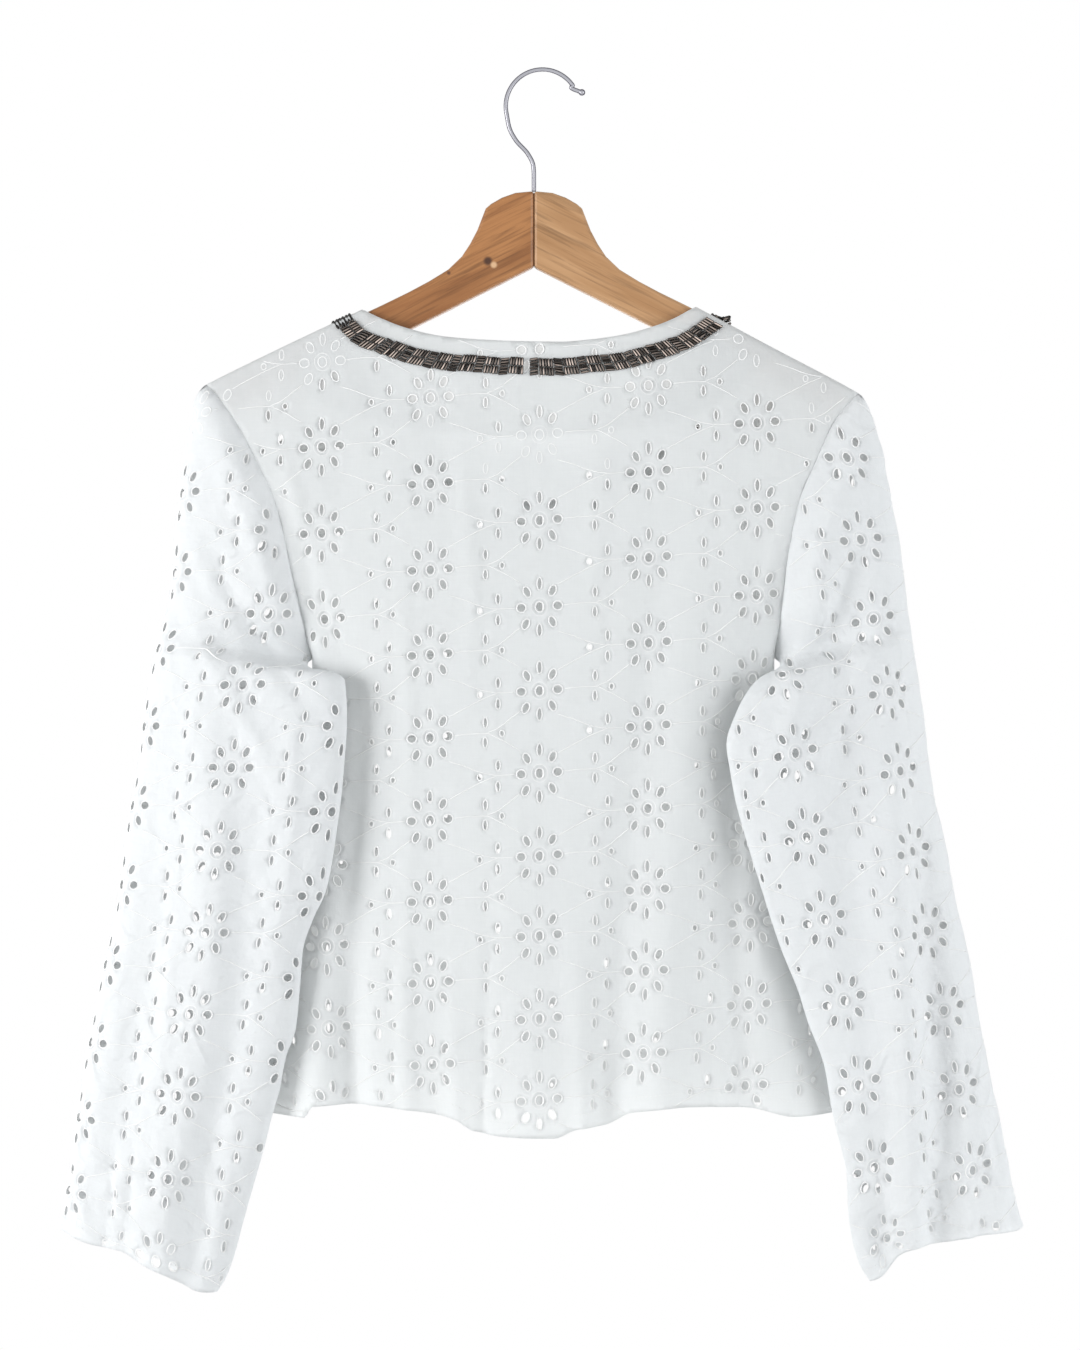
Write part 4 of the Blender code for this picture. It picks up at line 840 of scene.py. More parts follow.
class Graph:
    """A node tree that grows by one node at a time."""

    def __init__(self, tree: bpy.types.NodeTree) -> None:
        """Starts on a tree, and clears it."""
        self.tree = tree
        tree.nodes.clear()

    def add(self, kind: str, inputs: Inputs | None = None, **settings: object) -> bpy.types.Node:
        """Adds a node.

        Args:
            kind: Blender's name for the kind of node.
            inputs: Its inputs by name or number, each a socket to join or a value to set.
            settings: Its other properties.

        Returns:
            The node.
        """
        node = self.tree.nodes.new(kind)
        for key, value in settings.items():
            setattr(node, key, value)
        for key, value in (inputs or {}).items():
            if isinstance(value, bpy.types.NodeSocket):
                self.tree.links.new(value, node.inputs[key])
            else:
                node.inputs[key].default_value = value
        return node

    def mixed(self, share: object, first: object, second: object) -> bpy.types.NodeSocket:
        """A colour between two, each a socket or an RGBA value."""
        return self.add("ShaderNodeMix", {"Factor": share, 6: first, 7: second}, data_type="RGBA").outputs[2]

    def math(self, operation: str, *values: object) -> bpy.types.NodeSocket:
        """The result of an operation on values, each a socket or a number."""
        return self.add("ShaderNodeMath", dict(enumerate(values)), operation=operation).outputs[0]

    def share(
        self, value: bpy.types.NodeSocket, start: float, stop: float, ends: tuple[float, float] = (0.0, 1.0)
    ) -> bpy.types.NodeSocket:
        """A share that runs smoothly between its ends while a value runs between two limits."""
        inputs = {"Value": value, "From Min": start, "From Max": stop, "To Min": ends[0], "To Max": ends[1]}
        return self.add("ShaderNodeMapRange", inputs, interpolation_type="SMOOTHSTEP").outputs[0]


def blank(name: str) -> tuple[bpy.types.Material, Graph]:
    """A new material, and its empty graph."""
    made = bpy.data.materials.new(name)
    made.use_nodes = True
    return made, Graph(made.node_tree)


def effect(name: str, outputs: Sequence[str], inputs: Sequence[str] = ()) -> tuple[bpy.types.NodeTree, Graph]:
    """A new node group that puts out values.

    Args:
        name: The group's name.
        outputs: Names of its outputs.
        inputs: Names of its inputs.

    Returns:
        The group and its graph.
    """
    group = bpy.data.node_groups.new(name, "ShaderNodeTree")
    for label in outputs:
        group.interface.new_socket(label, in_out="OUTPUT", socket_type="NodeSocketFloat")
    for label in inputs:
        group.interface.new_socket(label, in_out="INPUT", socket_type="NodeSocketFloat")
    return group, Graph(group)


def weave_effect() -> bpy.types.NodeTree:
    """Plain-woven threads: Height for a bump, and Tone, a faint unevenness from 0 to 1."""
    group, graph = effect("weave", ("Height", "Tone"))
    place = graph.add("ShaderNodeUVMap", uv_map="cloth").outputs[0]
    threads = []
    for axis, stretch in (("X", (2200.0, 160.0, 1.0)), ("Y", (160.0, 2200.0, 1.0))):
        band = graph.add("ShaderNodeTexWave", {"Vector": place, "Scale": 620.0}, bands_direction=axis)
        moved = graph.add("ShaderNodeMapping", {"Vector": place, "Scale": stretch}).outputs[0]
        slub = graph.add("ShaderNodeTexNoise", {"Vector": moved, "Scale": 0.4, "Detail": 2.0})
        threads.append((graph.math("ADD", band.outputs["Fac"], slub.outputs[0]), slub.outputs[0]))
    (high, tone), (other_high, other_tone) = threads
    height = graph.math("ADD", high, other_high)
    graph.add("NodeGroupOutput", {"Height": height, "Tone": graph.math("MULTIPLY", tone, other_tone)})
    return group


def pucker_effect() -> bpy.types.NodeTree:
    """The soft unevenness of worked cloth and, by a share, thin crumpled creases, together as a Height."""
    group, graph = effect("pucker", ("Height",), ("Creasing",))
    share = graph.add("NodeGroupInput").outputs["Creasing"]
    place = graph.add("ShaderNodeUVMap", uv_map="cloth").outputs[0]
    inputs = {"Vector": place, "Scale": 95.0, "Detail": 3.0, "Roughness": 0.55}
    coarse = graph.add("ShaderNodeTexNoise", inputs).outputs[0]
    inputs = {"Vector": place, "Scale": 24.0, "Detail": 2.0, "Roughness": 0.45, "Distortion": 0.7}
    bent = graph.add("ShaderNodeTexNoise", inputs).outputs[0]
    away = graph.math("ABSOLUTE", graph.math("SUBTRACT", bent, 0.5))
    crease = graph.share(away, 0.0, 0.12, (1.0, 0.0))
    graph.add("NodeGroupOutput", {"Height": graph.math("MULTIPLY_ADD", crease, share, coarse)})
    return group


def grain_effect() -> bpy.types.NodeTree:
    """Wood grain along an arm that slopes by an angle: Figure and Pores, from 0 to 1."""
    group, graph = effect("grain", ("Figure", "Pores"), ("Slope",))
    slope = graph.add("NodeGroupInput").outputs["Slope"]
    turn = graph.add("ShaderNodeCombineXYZ", {"Y": slope}).outputs[0]
    place = graph.add("ShaderNodeTexCoord").outputs["Object"]
    along = graph.add("ShaderNodeMapping", {"Vector": place, "Rotation": turn}).outputs[0]
    found = {}
    for name, stretch, detail in (("Figure", (8.0, 95.0, 95.0), 6.0), ("Pores", (22.0, 430.0, 430.0), 3.0)):
        moved = graph.add("ShaderNodeMapping", {"Vector": along, "Scale": stretch}).outputs[0]
        inputs = {"Vector": moved, "Scale": 1.0, "Detail": detail, "Distortion": 0.6}
        found[name] = graph.add("ShaderNodeTexNoise", inputs).outputs[0]
    graph.add("NodeGroupOutput", found)
    return group


@dataclass(frozen=True)
class Cotton:
    """White cotton, or the thread worked on it, which lets a share of the light through with a glow.

    Heights of the weave and the puckers are in metres.
    """

    name: str
    colour: Colour
    shade: Colour
    glow: Colour
    see_through: float
    roughness: float
    sheen: float
    weave: float
    pucker: float
    creasing: float = 0.0

    def build(self, effects: dict[str, bpy.types.NodeTree]) -> bpy.types.Material:
        """The finish as a material."""
        made, graph = blank(self.name)
        weave = graph.add("ShaderNodeGroup", node_tree=effects["weave"])
        pucker = graph.add("ShaderNodeGroup", {"Creasing": self.creasing}, node_tree=effects["pucker"])
        limits = {"Value": weave.outputs["Tone"], "From Min": 0.12, "From Max": 0.4}
        share = graph.add("ShaderNodeMapRange", limits).outputs[0]
        colour = graph.mixed(share, (*self.shade, 1), (*self.colour, 1))
        soft = {"Height": pucker.outputs["Height"], "Distance": self.pucker, "Strength": 1.0}
        bumped = graph.add("ShaderNodeBump", soft).outputs[0]
        fine = {"Height": weave.outputs["Height"], "Normal": bumped, "Distance": self.weave, "Strength": 0.6}
        normal = graph.add("ShaderNodeBump", fine).outputs[0]
        surface = {"Base Color": colour, "Roughness": self.roughness, "Normal": normal}
        surface |= {"Sheen Weight": self.sheen, "Specular IOR Level": 0.25}
        cloth = graph.add("ShaderNodeBsdfPrincipled", surface).outputs[0]
        through = graph.add("ShaderNodeBsdfTranslucent", {"Color": (*self.glow, 1), "Normal": normal})
        both = graph.add("ShaderNodeMixShader", {0: self.see_through, 1: cloth, 2: through.outputs[0]})
        graph.add("ShaderNodeOutputMaterial", {"Surface": both.outputs[0]})
        return made


@dataclass(frozen=True)
class Bugle:
    """Dark glass tubes with a painted highlight down their middle as seen, stronger in some beads than in
    others.
    """

    name: str = "bugle_beads"
    dark: Colour = (0.007, 0.005, 0.004)
    # light is the painted highlight's colour.
    light: Colour = (0.80, 0.66, 0.58)
    roughness: float = 0.3

    def build(self) -> bpy.types.Material:
        """The finish as a material."""
        made, graph = blank(self.name)
        tone = graph.add("ShaderNodeAttribute", attribute_name="tone").outputs["Fac"]
        # Painted highlight: light where the tube faces the eye, dark towards its edges, as strong as the
        # bead's tone.
        away = graph.add("ShaderNodeLayerWeight", {"Blend": 0.5}).outputs["Facing"]
        share = graph.math("MULTIPLY", graph.share(away, 0.01, 0.2, (1.0, 0.0)), tone)
        colour = graph.mixed(share, (*self.dark, 1), (*self.light, 1))
        inputs = {"Base Color": colour, "Roughness": self.roughness, "Specular IOR Level": 0.25}
        glass = graph.add("ShaderNodeBsdfPrincipled", inputs)
        graph.add("ShaderNodeOutputMaterial", {"Surface": glass.outputs[0]})
        return made


class Mark(NamedTuple):
    """A knot or a patch of filler in wood: its middle and reach, its colour, and how much of it is even."""

    x: float
    z: float
    reach: float
    colour: Colour
    core: float = 0.35


@dataclass(frozen=True)
class Wood:
    """Satin-varnished wood whose grain runs along its arm, which slopes by some degrees."""

    name: str
    slope: float
    light: Colour
    dark: Colour
    marks: tuple[Mark, ...] = ()
    roughness: float = 0.42

    def build(self, effects: dict[str, bpy.types.NodeTree]) -> bpy.types.Material:
        """The finish as a material."""
        made, graph = blank(self.name)
        grain = graph.add("ShaderNodeGroup", {"Slope": math.radians(self.slope)}, node_tree=effects["grain"])
        figure = graph.share(grain.outputs["Figure"], 0.32, 0.7)
        colour = graph.mixed(figure, (*self.dark, 1), (*self.light, 1))
        limits = {"Value": grain.outputs["Pores"], "From Min": 0.5, "From Max": 0.7, "To Max": 0.6}
        pores = graph.add("ShaderNodeMapRange", limits).outputs[0]
        colour = graph.mixed(pores, colour, (*(part * 0.5 for part in self.dark), 1))
        place = graph.add("ShaderNodeTexCoord").outputs["Object"]
        inputs = {0: place, 1: (1.0, 0.0, 1.0)}
        level = graph.add("ShaderNodeVectorMath", inputs, operation="MULTIPLY").outputs[0]
        for mark in self.marks:
            inputs = {0: level, 1: (mark.x * METRE, 0.0, mark.z * METRE)}
            away = graph.add("ShaderNodeVectorMath", inputs, operation="DISTANCE").outputs["Value"]
            mask = graph.share(away, mark.reach * METRE * mark.core, mark.reach * METRE, (1.0, 0.0))
            colour = graph.mixed(mask, colour, (*mark.colour, 1))
        bump = {"Height": grain.outputs["Pores"], "Distance": 0.00012, "Strength": 0.5}
        normal = graph.add("ShaderNodeBump", bump).outputs[0]
        inputs = {"Base Color": colour, "Roughness": self.roughness, "Normal": normal}
        wood = graph.add("ShaderNodeBsdfPrincipled", {**inputs, "Coat Weight": 0.15, "Coat Roughness": 0.3})
        graph.add("ShaderNodeOutputMaterial", {"Surface": wood.outputs[0]})
        return made


@dataclass(frozen=True)
class Chrome:
    """Bright wire with a painted reflection of a studio's dark stands: light in the middle, dark where it
    turns away.
    """

    name: str = "chrome"
    # middle and rim are the painted reflection's colours: where the wire faces the eye, and where it turns
    # away.
    middle: Colour = (0.46, 0.46, 0.50)
    rim: Colour = (0.05, 0.045, 0.075)
    roughness: float = 0.3
    metallic: float = 0.25

    def build(self) -> bpy.types.Material:
        """The finish as a material."""
        made, graph = blank(self.name)
        # Painted reflection: the base colour runs from middle to rim as the surface turns away from the eye.
        away = graph.add("ShaderNodeLayerWeight", {"Blend": 0.5}).outputs["Facing"]
        colour = graph.mixed(graph.share(away, 0.04, 0.42), (*self.middle, 1), (*self.rim, 1))
        inputs = {"Base Color": colour, "Roughness": self.roughness, "Metallic": self.metallic}
        wire = graph.add("ShaderNodeBsdfPrincipled", inputs)
        graph.add("ShaderNodeOutputMaterial", {"Surface": wire.outputs[0]})
        return made


@dataclass(frozen=True)
class Plain:
    """One even colour, such as the floor's."""

    name: str
    colour: Colour
    roughness: float

    def build(self) -> bpy.types.Material:
        """The finish as a material, with faint noise in its roughness."""
        made, graph = blank(self.name)
        noise = graph.add("ShaderNodeTexNoise", {"Scale": 300.0, "Detail": 2.0}).outputs[0]
        limits = {"Value": noise, "To Min": self.roughness * 0.8, "To Max": self.roughness * 1.2}
        rough = graph.add("ShaderNodeMapRange", limits).outputs[0]
        even = graph.add("ShaderNodeBsdfPrincipled", {"Base Color": (*self.colour, 1), "Roughness": rough})
        graph.add("ShaderNodeOutputMaterial", {"Surface": even.outputs[0]})
        return made


COTTON = Cotton(
    "cotton", (0.905, 0.93, 0.942), (0.87, 0.895, 0.908), (0.92, 0.92, 0.91),
    see_through=0.45, roughness=0.85, sheen=0.05, weave=0.00005, pucker=0.0007, creasing=0.2,
)
# The sleeves' cotton is the body's cotton painted lighter: brighter, bluer and less see-through, which is
# painted light, as the sleeves catch more of the lamps. Its stronger crumples are its own.
SLEEVE_COTTON_PAINTED_LIGHTER = Cotton(
    "sleeve_cotton", (0.925, 0.95, 0.97), (0.895, 0.92, 0.94), (0.92, 0.92, 0.91),
    see_through=0.38, roughness=0.85, sheen=0.05, weave=0.00005, pucker=0.0012, creasing=0.45,
)
PLAIN_COTTON = Cotton(
    "plain_cotton", (0.88, 0.89, 0.895), (0.85, 0.86, 0.865), (0.93, 0.93, 0.92),
    see_through=0.5, roughness=0.9, sheen=0.05, weave=0.00006, pucker=0.0002,
)
THREAD = Cotton(
    "thread", (0.98, 0.985, 0.985), (0.965, 0.97, 0.97), (0.95, 0.95, 0.95),
    see_through=0.06, roughness=0.6, sheen=0.2, weave=0.00005, pucker=0.0,
)
LEFT_WOOD = Wood(
    "wood_left", 26.8, (0.435, 0.195, 0.07), (0.275, 0.109, 0.035),
    (
        Mark(-37.6, -131.3, 4.2, (0.075, 0.03, 0.015)),
        Mark(-33.5, -134.0, 3.0, (0.66, 0.42, 0.24)),
        Mark(-64.5, -139.6, 1.8, (0.14, 0.06, 0.03)),
    ),
)
RIGHT_WOOD = Wood("wood_right", -26.8, (0.565, 0.328, 0.165), (0.41, 0.216, 0.094))
GLUE = Plain("glue", (0.2, 0.09, 0.04), 0.7)
FLOOR = Plain("floor", (0.8, 0.8, 0.8), 0.6)


class Finishes:
    """Every material of the jacket and its hanger."""

    def __init__(self) -> None:
        """Builds them all."""
        effects = {"weave": weave_effect(), "pucker": pucker_effect(), "grain": grain_effect()}
        self.cotton = COTTON.build(effects)
        self.sleeve_cotton = SLEEVE_COTTON_PAINTED_LIGHTER.build(effects)
        self.plain_cotton = PLAIN_COTTON.build(effects)
        self.thread = THREAD.build(effects)
        self.beads = Bugle().build()
        self.wood = {Hand.LEFT: LEFT_WOOD.build(effects), Hand.RIGHT: RIGHT_WOOD.build(effects)}
        self.chrome = Chrome().build()
        self.glue = GLUE.build()


class MeshParts:
    """Vertices, faces and flat positions that grow into one mesh."""

    def __init__(self) -> None:
        """Starts with nothing."""
        self.vertices: list[np.ndarray] = []
        self.faces: list[np.ndarray] = []
        self.flat: list[np.ndarray] = []
        self.tone: list[np.ndarray] = []
        self.count = 0

    def add(
        self,
        vertices: np.ndarray,
        faces: Sequence[np.ndarray],
        flat: np.ndarray | None = None,
        tone: float = 0.5,
    ) -> None:
        """Adds one patch.

        Args:
            vertices: Points in millimetres.
            faces: Arrays of vertex numbers within the patch, each for faces with one number of corners.
            flat: Texture place of each vertex, in millimetres, or None where no texture needs it.
            tone: A value from 0 to 1 that a material may vary with.
        """
        points = vertices.reshape(-1, 3)
        self.vertices.append(points)
        self.faces += [array + self.count for array in faces]
        self.flat.append(np.zeros((len(points), 2)) if flat is None else flat.reshape(-1, 2))
        self.tone.append(np.full(len(points), tone))
        self.count += len(points)

    def build(self, name: str, material: bpy.types.Material, weld: float = 0.0) -> bpy.types.Object:
        """Makes the object, smooth shaded, with a texture map in metres and a tone for each vertex.

        Args:
            name: The object's name.
            material: Its material.
            weld: Points nearer than this are joined, if it is above 0.

        Returns:
            The object, with its faces turned the same way.
        """
        mesh = bpy.data.meshes.new(name)
        faces = [tuple(face) for patch in self.faces for face in patch.tolist()]
        mesh.from_pydata((np.concatenate(self.vertices) * METRE).tolist(), [], faces)
        loops = np.zeros(len(mesh.loops), np.int32)
        mesh.loops.foreach_get("vertex_index", loops)
        layer = mesh.uv_layers.new(name="cloth")
        layer.data.foreach_set("uv", (np.concatenate(self.flat)[loops] * METRE).ravel())
        mesh.attributes.new("tone", "FLOAT", "POINT").data.foreach_set("value", np.concatenate(self.tone))
        work = bmesh.new()
        work.from_mesh(mesh)
        if weld > 0:
            bmesh.ops.remove_doubles(work, verts=work.verts, dist=weld * METRE)
        bmesh.ops.recalc_face_normals(work, faces=work.faces)
        work.to_mesh(mesh)
        work.free()
        mesh.shade_smooth()
        mesh.materials.append(material)
        made = bpy.data.objects.new(name, mesh)
        bpy.context.scene.collection.objects.link(made)
        return made


def tube_faces(rings: int, sides: int, closed: bool) -> np.ndarray:
    """Quads that join rings of points into a tube, whose last ring joins its first if it is closed."""
    i = np.arange(rings if closed else rings - 1)[:, None]
    k = np.arange(sides)[None, :]
    here, after, turn = i * sides, (i + 1) % rings * sides, (k + 1) % sides
    return np.stack([here + k, after + k, after + turn, here + turn], axis=-1).reshape(-1, 4)


def tube(rings: int, sides: int) -> list[np.ndarray]:
    """The faces of an open tube of rings of points, and a cap on each of its ends."""
    first = np.arange(sides)[None, :]
    return [tube_faces(rings, sides, False), first, first + (rings - 1) * sides]


def inner_room(points: np.ndarray, polygon: np.ndarray) -> np.ndarray:
    """How far flat points lie from a polygon's edge, and -1 for those outside it."""
    x1, y1 = polygon.T
    run_x, run_y = (np.roll(polygon, -1, axis=0) - polygon).T
    squared = np.maximum(run_x**2 + run_y**2, 1e-9)
    slope = run_x / np.where(run_y == 0, 1e-12, run_y)
    room = np.full(len(points), -1.0)
    for start in range(0, len(points), AT_ONCE):
        x, y = (part[:, None] for part in points[start : start + AT_ONCE].T)
        crossed = ((y1 > y) != (y1 + run_y > y)) & (x < x1 + slope * (y - y1))
        share = np.clip(((x - x1) * run_x + (y - y1) * run_y) / squared, 0, 1)
        least = ((x - x1 - share * run_x) ** 2 + (y - y1 - share * run_y) ** 2).min(axis=1)
        room[start : start + AT_ONCE] = np.where(crossed.sum(axis=1) % 2 == 1, np.sqrt(least), -1)
    return room


def turned_area(polygon: np.ndarray) -> float:
    """A flat polygon's area, positive if it turns from u towards v."""
    x, y = polygon.T
    return float(np.dot(x, np.roll(y, -1)) - np.dot(y, np.roll(x, -1))) / 2


class Lattice:
    """The flowers of the broderie over one surface."""

    def __init__(self, centres: np.ndarray, mirror: int) -> None:
        """Keeps the flowers' places.

        Args:
            centres: Flat positions of the flowers' middles.
            mirror: 1 if u rises towards the wearer's right as seen from outside the back, -1 if it falls.
        """
        self.centres = centres
        self.mirror = mirror

    @classmethod
    def of_body(cls, side: Side) -> "Lattice":
        """Flowers over one side of the body, whose rows close up a little towards the hem."""
        shift_u, shift_v = (FRONT_SHIFT_U, FRONT_SHIFT_V) if side == Side.FRONT else (0, 0)
        rows = np.arange(len(CENTRE_COLUMN_Z))
        centres = []
        for column in COLUMNS:
            for row in ROWS:
                level = row + COLUMN_DROP / ROW_PITCH * column
                if 0 <= level <= rows[-1]:
                    z = float(np.interp(level, rows, CENTRE_COLUMN_Z))
                    centres.append((CENTRE_COLUMN_X + shift_u + COLUMN_PITCH * column, shift_v - z))
        return cls(np.array(centres), 1)

    @classmethod
    def of_sleeve(cls, surface: SleeveSurface) -> "Lattice":
        """Flowers round a sleeve, laid from the one that shows best."""
        out, z = SLEEVE_FLOWER[surface.hand]
        u0, v0 = surface.back.flat(surface.hand * out, z)
        mirror = -surface.hand
        centres = [
            (u0 + mirror * COLUMN_PITCH * column, v0 + ROW_PITCH * row + COLUMN_DROP * column)
            for column in SLEEVE_COLUMNS
            for row in SLEEVE_ROWS
        ]
        return cls(np.array(centres), mirror)

    def placed(self, local: np.ndarray) -> np.ndarray:
        """Points of a flower (last axis across, up) at every flower, as flat positions."""
        return self.centres[(slice(None),) + (None,) * (local.ndim - 1)] + local * (self.mirror, -1)


class Cloth:
    """One cut piece of the jacket's cotton, with its eyelets cut, its satin-stitch rims and its stems."""

    def __init__(
        self,
        name: str,
        surface: Surface,
        outline: np.ndarray,
        lines: list[np.ndarray],
        nodes: Sequence[str],
        rests_on: Sequence[str],
    ) -> None:
        """Plans the piece.

        Args:
            name: The piece's name.
            surface: The surface that it hangs on.
            outline: Its cut outline, as flat positions.
            lines: Lines beside its folded or sewn edges, where the cloth turns tightly.
            nodes: The CAD nodes that it stands for.
            rests_on: What it hangs from.
        """
        self.name = name
        self.surface = surface
        self.outline = outline
        self.lines = lines
        self.nodes = nodes
        self.rests_on = rests_on
        self.holes: list[np.ndarray] = []
        self.embroidery: list[tuple[np.ndarray, np.ndarray, list[np.ndarray], np.ndarray]] = []

    def keeps(self, flat: np.ndarray, room: float) -> np.ndarray:
        """Which flat positions lie in the outline with some room from its edge."""
        return (inner_room(flat.reshape(-1, 2), self.outline) > room).reshape(flat.shape[:-1])

    def embroider(self, lattice: Lattice) -> None:
        """Cuts every eyelet that fits, and works its rim, the ring round each middle, and the stems."""
        for eyelet in EYELETS:
            radius = (np.array([eyelet.wide, eyelet.tall]) + RIM_WIDE) / 2
            lean = eyelet.lean * lattice.mirror
            middles = lattice.placed(np.array([[eyelet.across, eyelet.up]]))[:, 0]
            middles = middles[self.keeps(middles, radius.max() + EYELET_ROOM)]
            ring = self.ellipse(radius, lean, max(HOLE_SIDES, round(eyelet.sides * HOLE_SHARE)))
            self.holes += [middle + ring for middle in middles if self.surface.is_open(middle)]
            self.rims(middles, radius, lean, eyelet.sides, RIM_WIDE, RIM_HIGH)
        middles = lattice.centres[self.keeps(lattice.centres, RING_RADIUS + EYELET_ROOM)]
        radius = np.array([RING_RADIUS, RING_RADIUS * RING_TALLER])
        self.rims(middles, radius, 0, RING_SIDES, RING_WIDE, RING_HIGH)
        for stem in STEMS:
            for line in lattice.placed(drawn(stem, STEM_STEP)):
                self.thread(line, STEM_WIDE, STEM_HIGH)

    @staticmethod
    def ellipse(radius: np.ndarray, lean: float, sides: int, grow: float = 0.0) -> np.ndarray:
        """Points round an ellipse that leans, in flat distances."""
        turn = np.linspace(0, 2 * math.pi, sides, endpoint=False)
        ring = np.stack([np.sin(turn) * (radius[0] + grow), np.cos(turn) * (radius[1] + grow)], axis=1)
        c, s = math.cos(math.radians(lean)), math.sin(math.radians(lean))
        return ring @ np.array([[c, s], [-s, c]])

    def rims(
        self, middles: np.ndarray, radius: np.ndarray, lean: float, sides: int, wide: float, high: float
    ) -> None:
        """Works a padded satin-stitch rim round each middle."""
        profile = ((-0.5 * wide, 0.0), (0.0, high), (0.5 * wide, 0.0), (0.0, -high))
        rings = np.stack([self.ellipse(radius, lean, sides, grow) for grow, _ in profile], axis=1)
        heights = np.tile([rise for _, rise in profile], (sides, 1))
        faces = [tube_faces(sides, len(profile), True)]
        around = np.linspace(0, 2 * math.pi * radius.mean(), sides, endpoint=False)
        grain = np.stack(np.meshgrid(around, np.arange(len(profile)) * wide, indexing="ij"), axis=-1)
        self.embroidery += [(middle + rings, heights, faces, grain) for middle in middles]

    def thread(self, line: np.ndarray, wide: float, high: float, room: float = 1.0) -> None:
        """Lays a raised line of stitches wherever it is on the piece, tapered at its ends.

        Args:
            line: Flat positions along it.
            wide: Its width.
            high: Its height above the cloth.
            room: How far it stays from the piece's edge.
        """
        kept = self.keeps(line, room)
        breaks = np.flatnonzero(np.diff(kept.astype(int))) + 1
        for run in np.split(np.arange(len(line)), breaks):
            if len(run) < 2 or not kept[run[0]]:
                continue
            part = line[run]
            direction = np.gradient(part, axis=0)
            direction /= np.linalg.norm(direction, axis=1, keepdims=True)
            beside = np.stack([-direction[:, 1], direction[:, 0]], axis=1) * wide / 2
            full = np.ones(len(run))
            full[[0, -1]] = THREAD_END
            flat = np.stack([part - beside * full[:, None], part, part + beside * full[:, None]], axis=1)
            sunk = np.full(len(run), THREAD_SUNK)
            heights = np.stack([sunk, sunk + high * full, sunk], axis=1)
            along = np.arange(len(run)) * STEM_STEP
            grain = np.stack(np.meshgrid(along, np.arange(3) * wide, indexing="ij"), axis=-1)
            self.embroidery.append((flat, heights, tube(len(run), 3), grain))

    def stitches(self, line: np.ndarray) -> None:
        """Sews a row of straight machine stitches along a flat line."""
        steps = drawn([tuple(point) for point in line], STITCH_PITCH)
        share = np.array([[STITCH_GAP / 2], [0.5], [1 - STITCH_GAP / 2]])
        for start, end in zip(steps, steps[1:]):
            self.thread(start + (end - start) * share, STITCH_WIDE, STITCH_HIGH, STITCH_ROOM)

    def fill(self) -> np.ndarray:
        """Points spread over the piece, clear of its edges, lines and eyelets."""
        low, high = self.outline.min(axis=0), self.outline.max(axis=0)
        rise = GRID_STEP * math.sqrt(3) / 2
        us, vs = np.arange(low[0], high[0], GRID_STEP), np.arange(low[1], high[1], rise)
        grid = np.stack(np.meshgrid(us, vs), axis=-1)
        grid[1::2, :, 0] += GRID_STEP / 2
        grid = grid.reshape(-1, 2)
        grid = grid[self.keeps(grid, GRID_EDGE_ROOM)]
        cells: dict[tuple[int, int], list[np.ndarray]] = {}
        crowd = [*self.holes, *self.lines]
        for point in np.concatenate(crowd) if crowd else []:
            i, j = (point // GRID_CELL).astype(int)
            cells.setdefault((i, j), []).append(point)
        kept = []
        for point in grid:
            i, j = (point // GRID_CELL).astype(int)
            near = [q for a in (-1, 0, 1) for b in (-1, 0, 1) for q in cells.get((i + a, j + b), ())]
            if not near or np.min(np.hypot(*(np.array(near) - point).T)) > GRID_ROOM:
                kept.append(point)
        return np.array(kept)

    def triangles(self) -> tuple[np.ndarray, np.ndarray]:
        """The flat points and triangles of the piece, with its eyelets left out."""
        points: list[np.ndarray] = []
        loops = []
        for loop in (self.outline, *self.holes):
            loops.append(list(range(len(points), len(points) + len(loop))))
            points += [*(loop if turned_area(loop) > 0 else loop[::-1])]
        edges = []
        for line in self.lines:
            edges += [(len(points) + i, len(points) + i + 1) for i in range(len(line) - 1)]
            points += [*line]
        points += [*self.fill()]
        corners = [Vector(point) for point in points]
        found, _, faces, _, _, origins = delaunay_2d_cdt(corners, edges, loops, 0, CDT_NEAR)
        kept = [face for face, origin in zip(faces, origins) if list(origin) == [0]]
        return np.array([tuple(p) for p in found]), np.array([tuple(face) for face in kept])

    def worked(self, thread: bpy.types.Material) -> list[bpy.types.Object]:
        """Makes what is worked on the cloth as one object, or nothing if it is plain."""
        if not self.embroidery:
            return []
        flat = np.concatenate([one.reshape(-1, 2) for one, _, _, _ in self.embroidery])
        height = np.concatenate([one.ravel() for _, one, _, _ in self.embroidery])
        points = self.surface.lifted(flat, height)
        parts = MeshParts()
        first = 0
        for _, heights, faces, grain in self.embroidery:
            parts.add(points[first : first + heights.size], faces, grain)
            first += heights.size
        return [parts.build(f"{self.name}_embroidery", thread)]

    def build(
        self,
        cotton: bpy.types.Material,
        thread: bpy.types.Material,
        slot: str,
        sunk: float = 0.0,
        wall: float = SHELL,
    ) -> None:
        """Makes the cloth as a thin shell, and what is worked on it as a piece of its own.

        Args:
            cotton: The material that it is cut from.
            thread: The material that is worked on it.
            slot: A slot name for both; not used.
            sunk: How far inside its surface it lies.
            wall: How thick it is.
        """
        flat, faces = self.triangles()
        used, index = np.unique(faces, return_inverse=True)
        flat = flat[used]
        parts = MeshParts()
        parts.add(self.surface.lifted(flat, np.full(len(flat), -sunk)), [index.reshape(faces.shape)], flat)
        made = parts.build(self.name, cotton, WELD)
        shell = made.modifiers.new("Solidify", "SOLIDIFY")
        shell.thickness = wall * METRE
        shell.offset = 0
        worked = self.worked(thread)
        for piece in (made, *worked):
            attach(piece, "root")
        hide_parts(*self.nodes)


def beside(line: np.ndarray, distance: float) -> np.ndarray:
    """A flat line beside another, to the left of its direction with v running down."""
    run = np.gradient(line, axis=0)
    run /= np.linalg.norm(run, axis=1, keepdims=True)
    return line + distance * np.stack([-run[:, 1], run[:, 0]], axis=1)


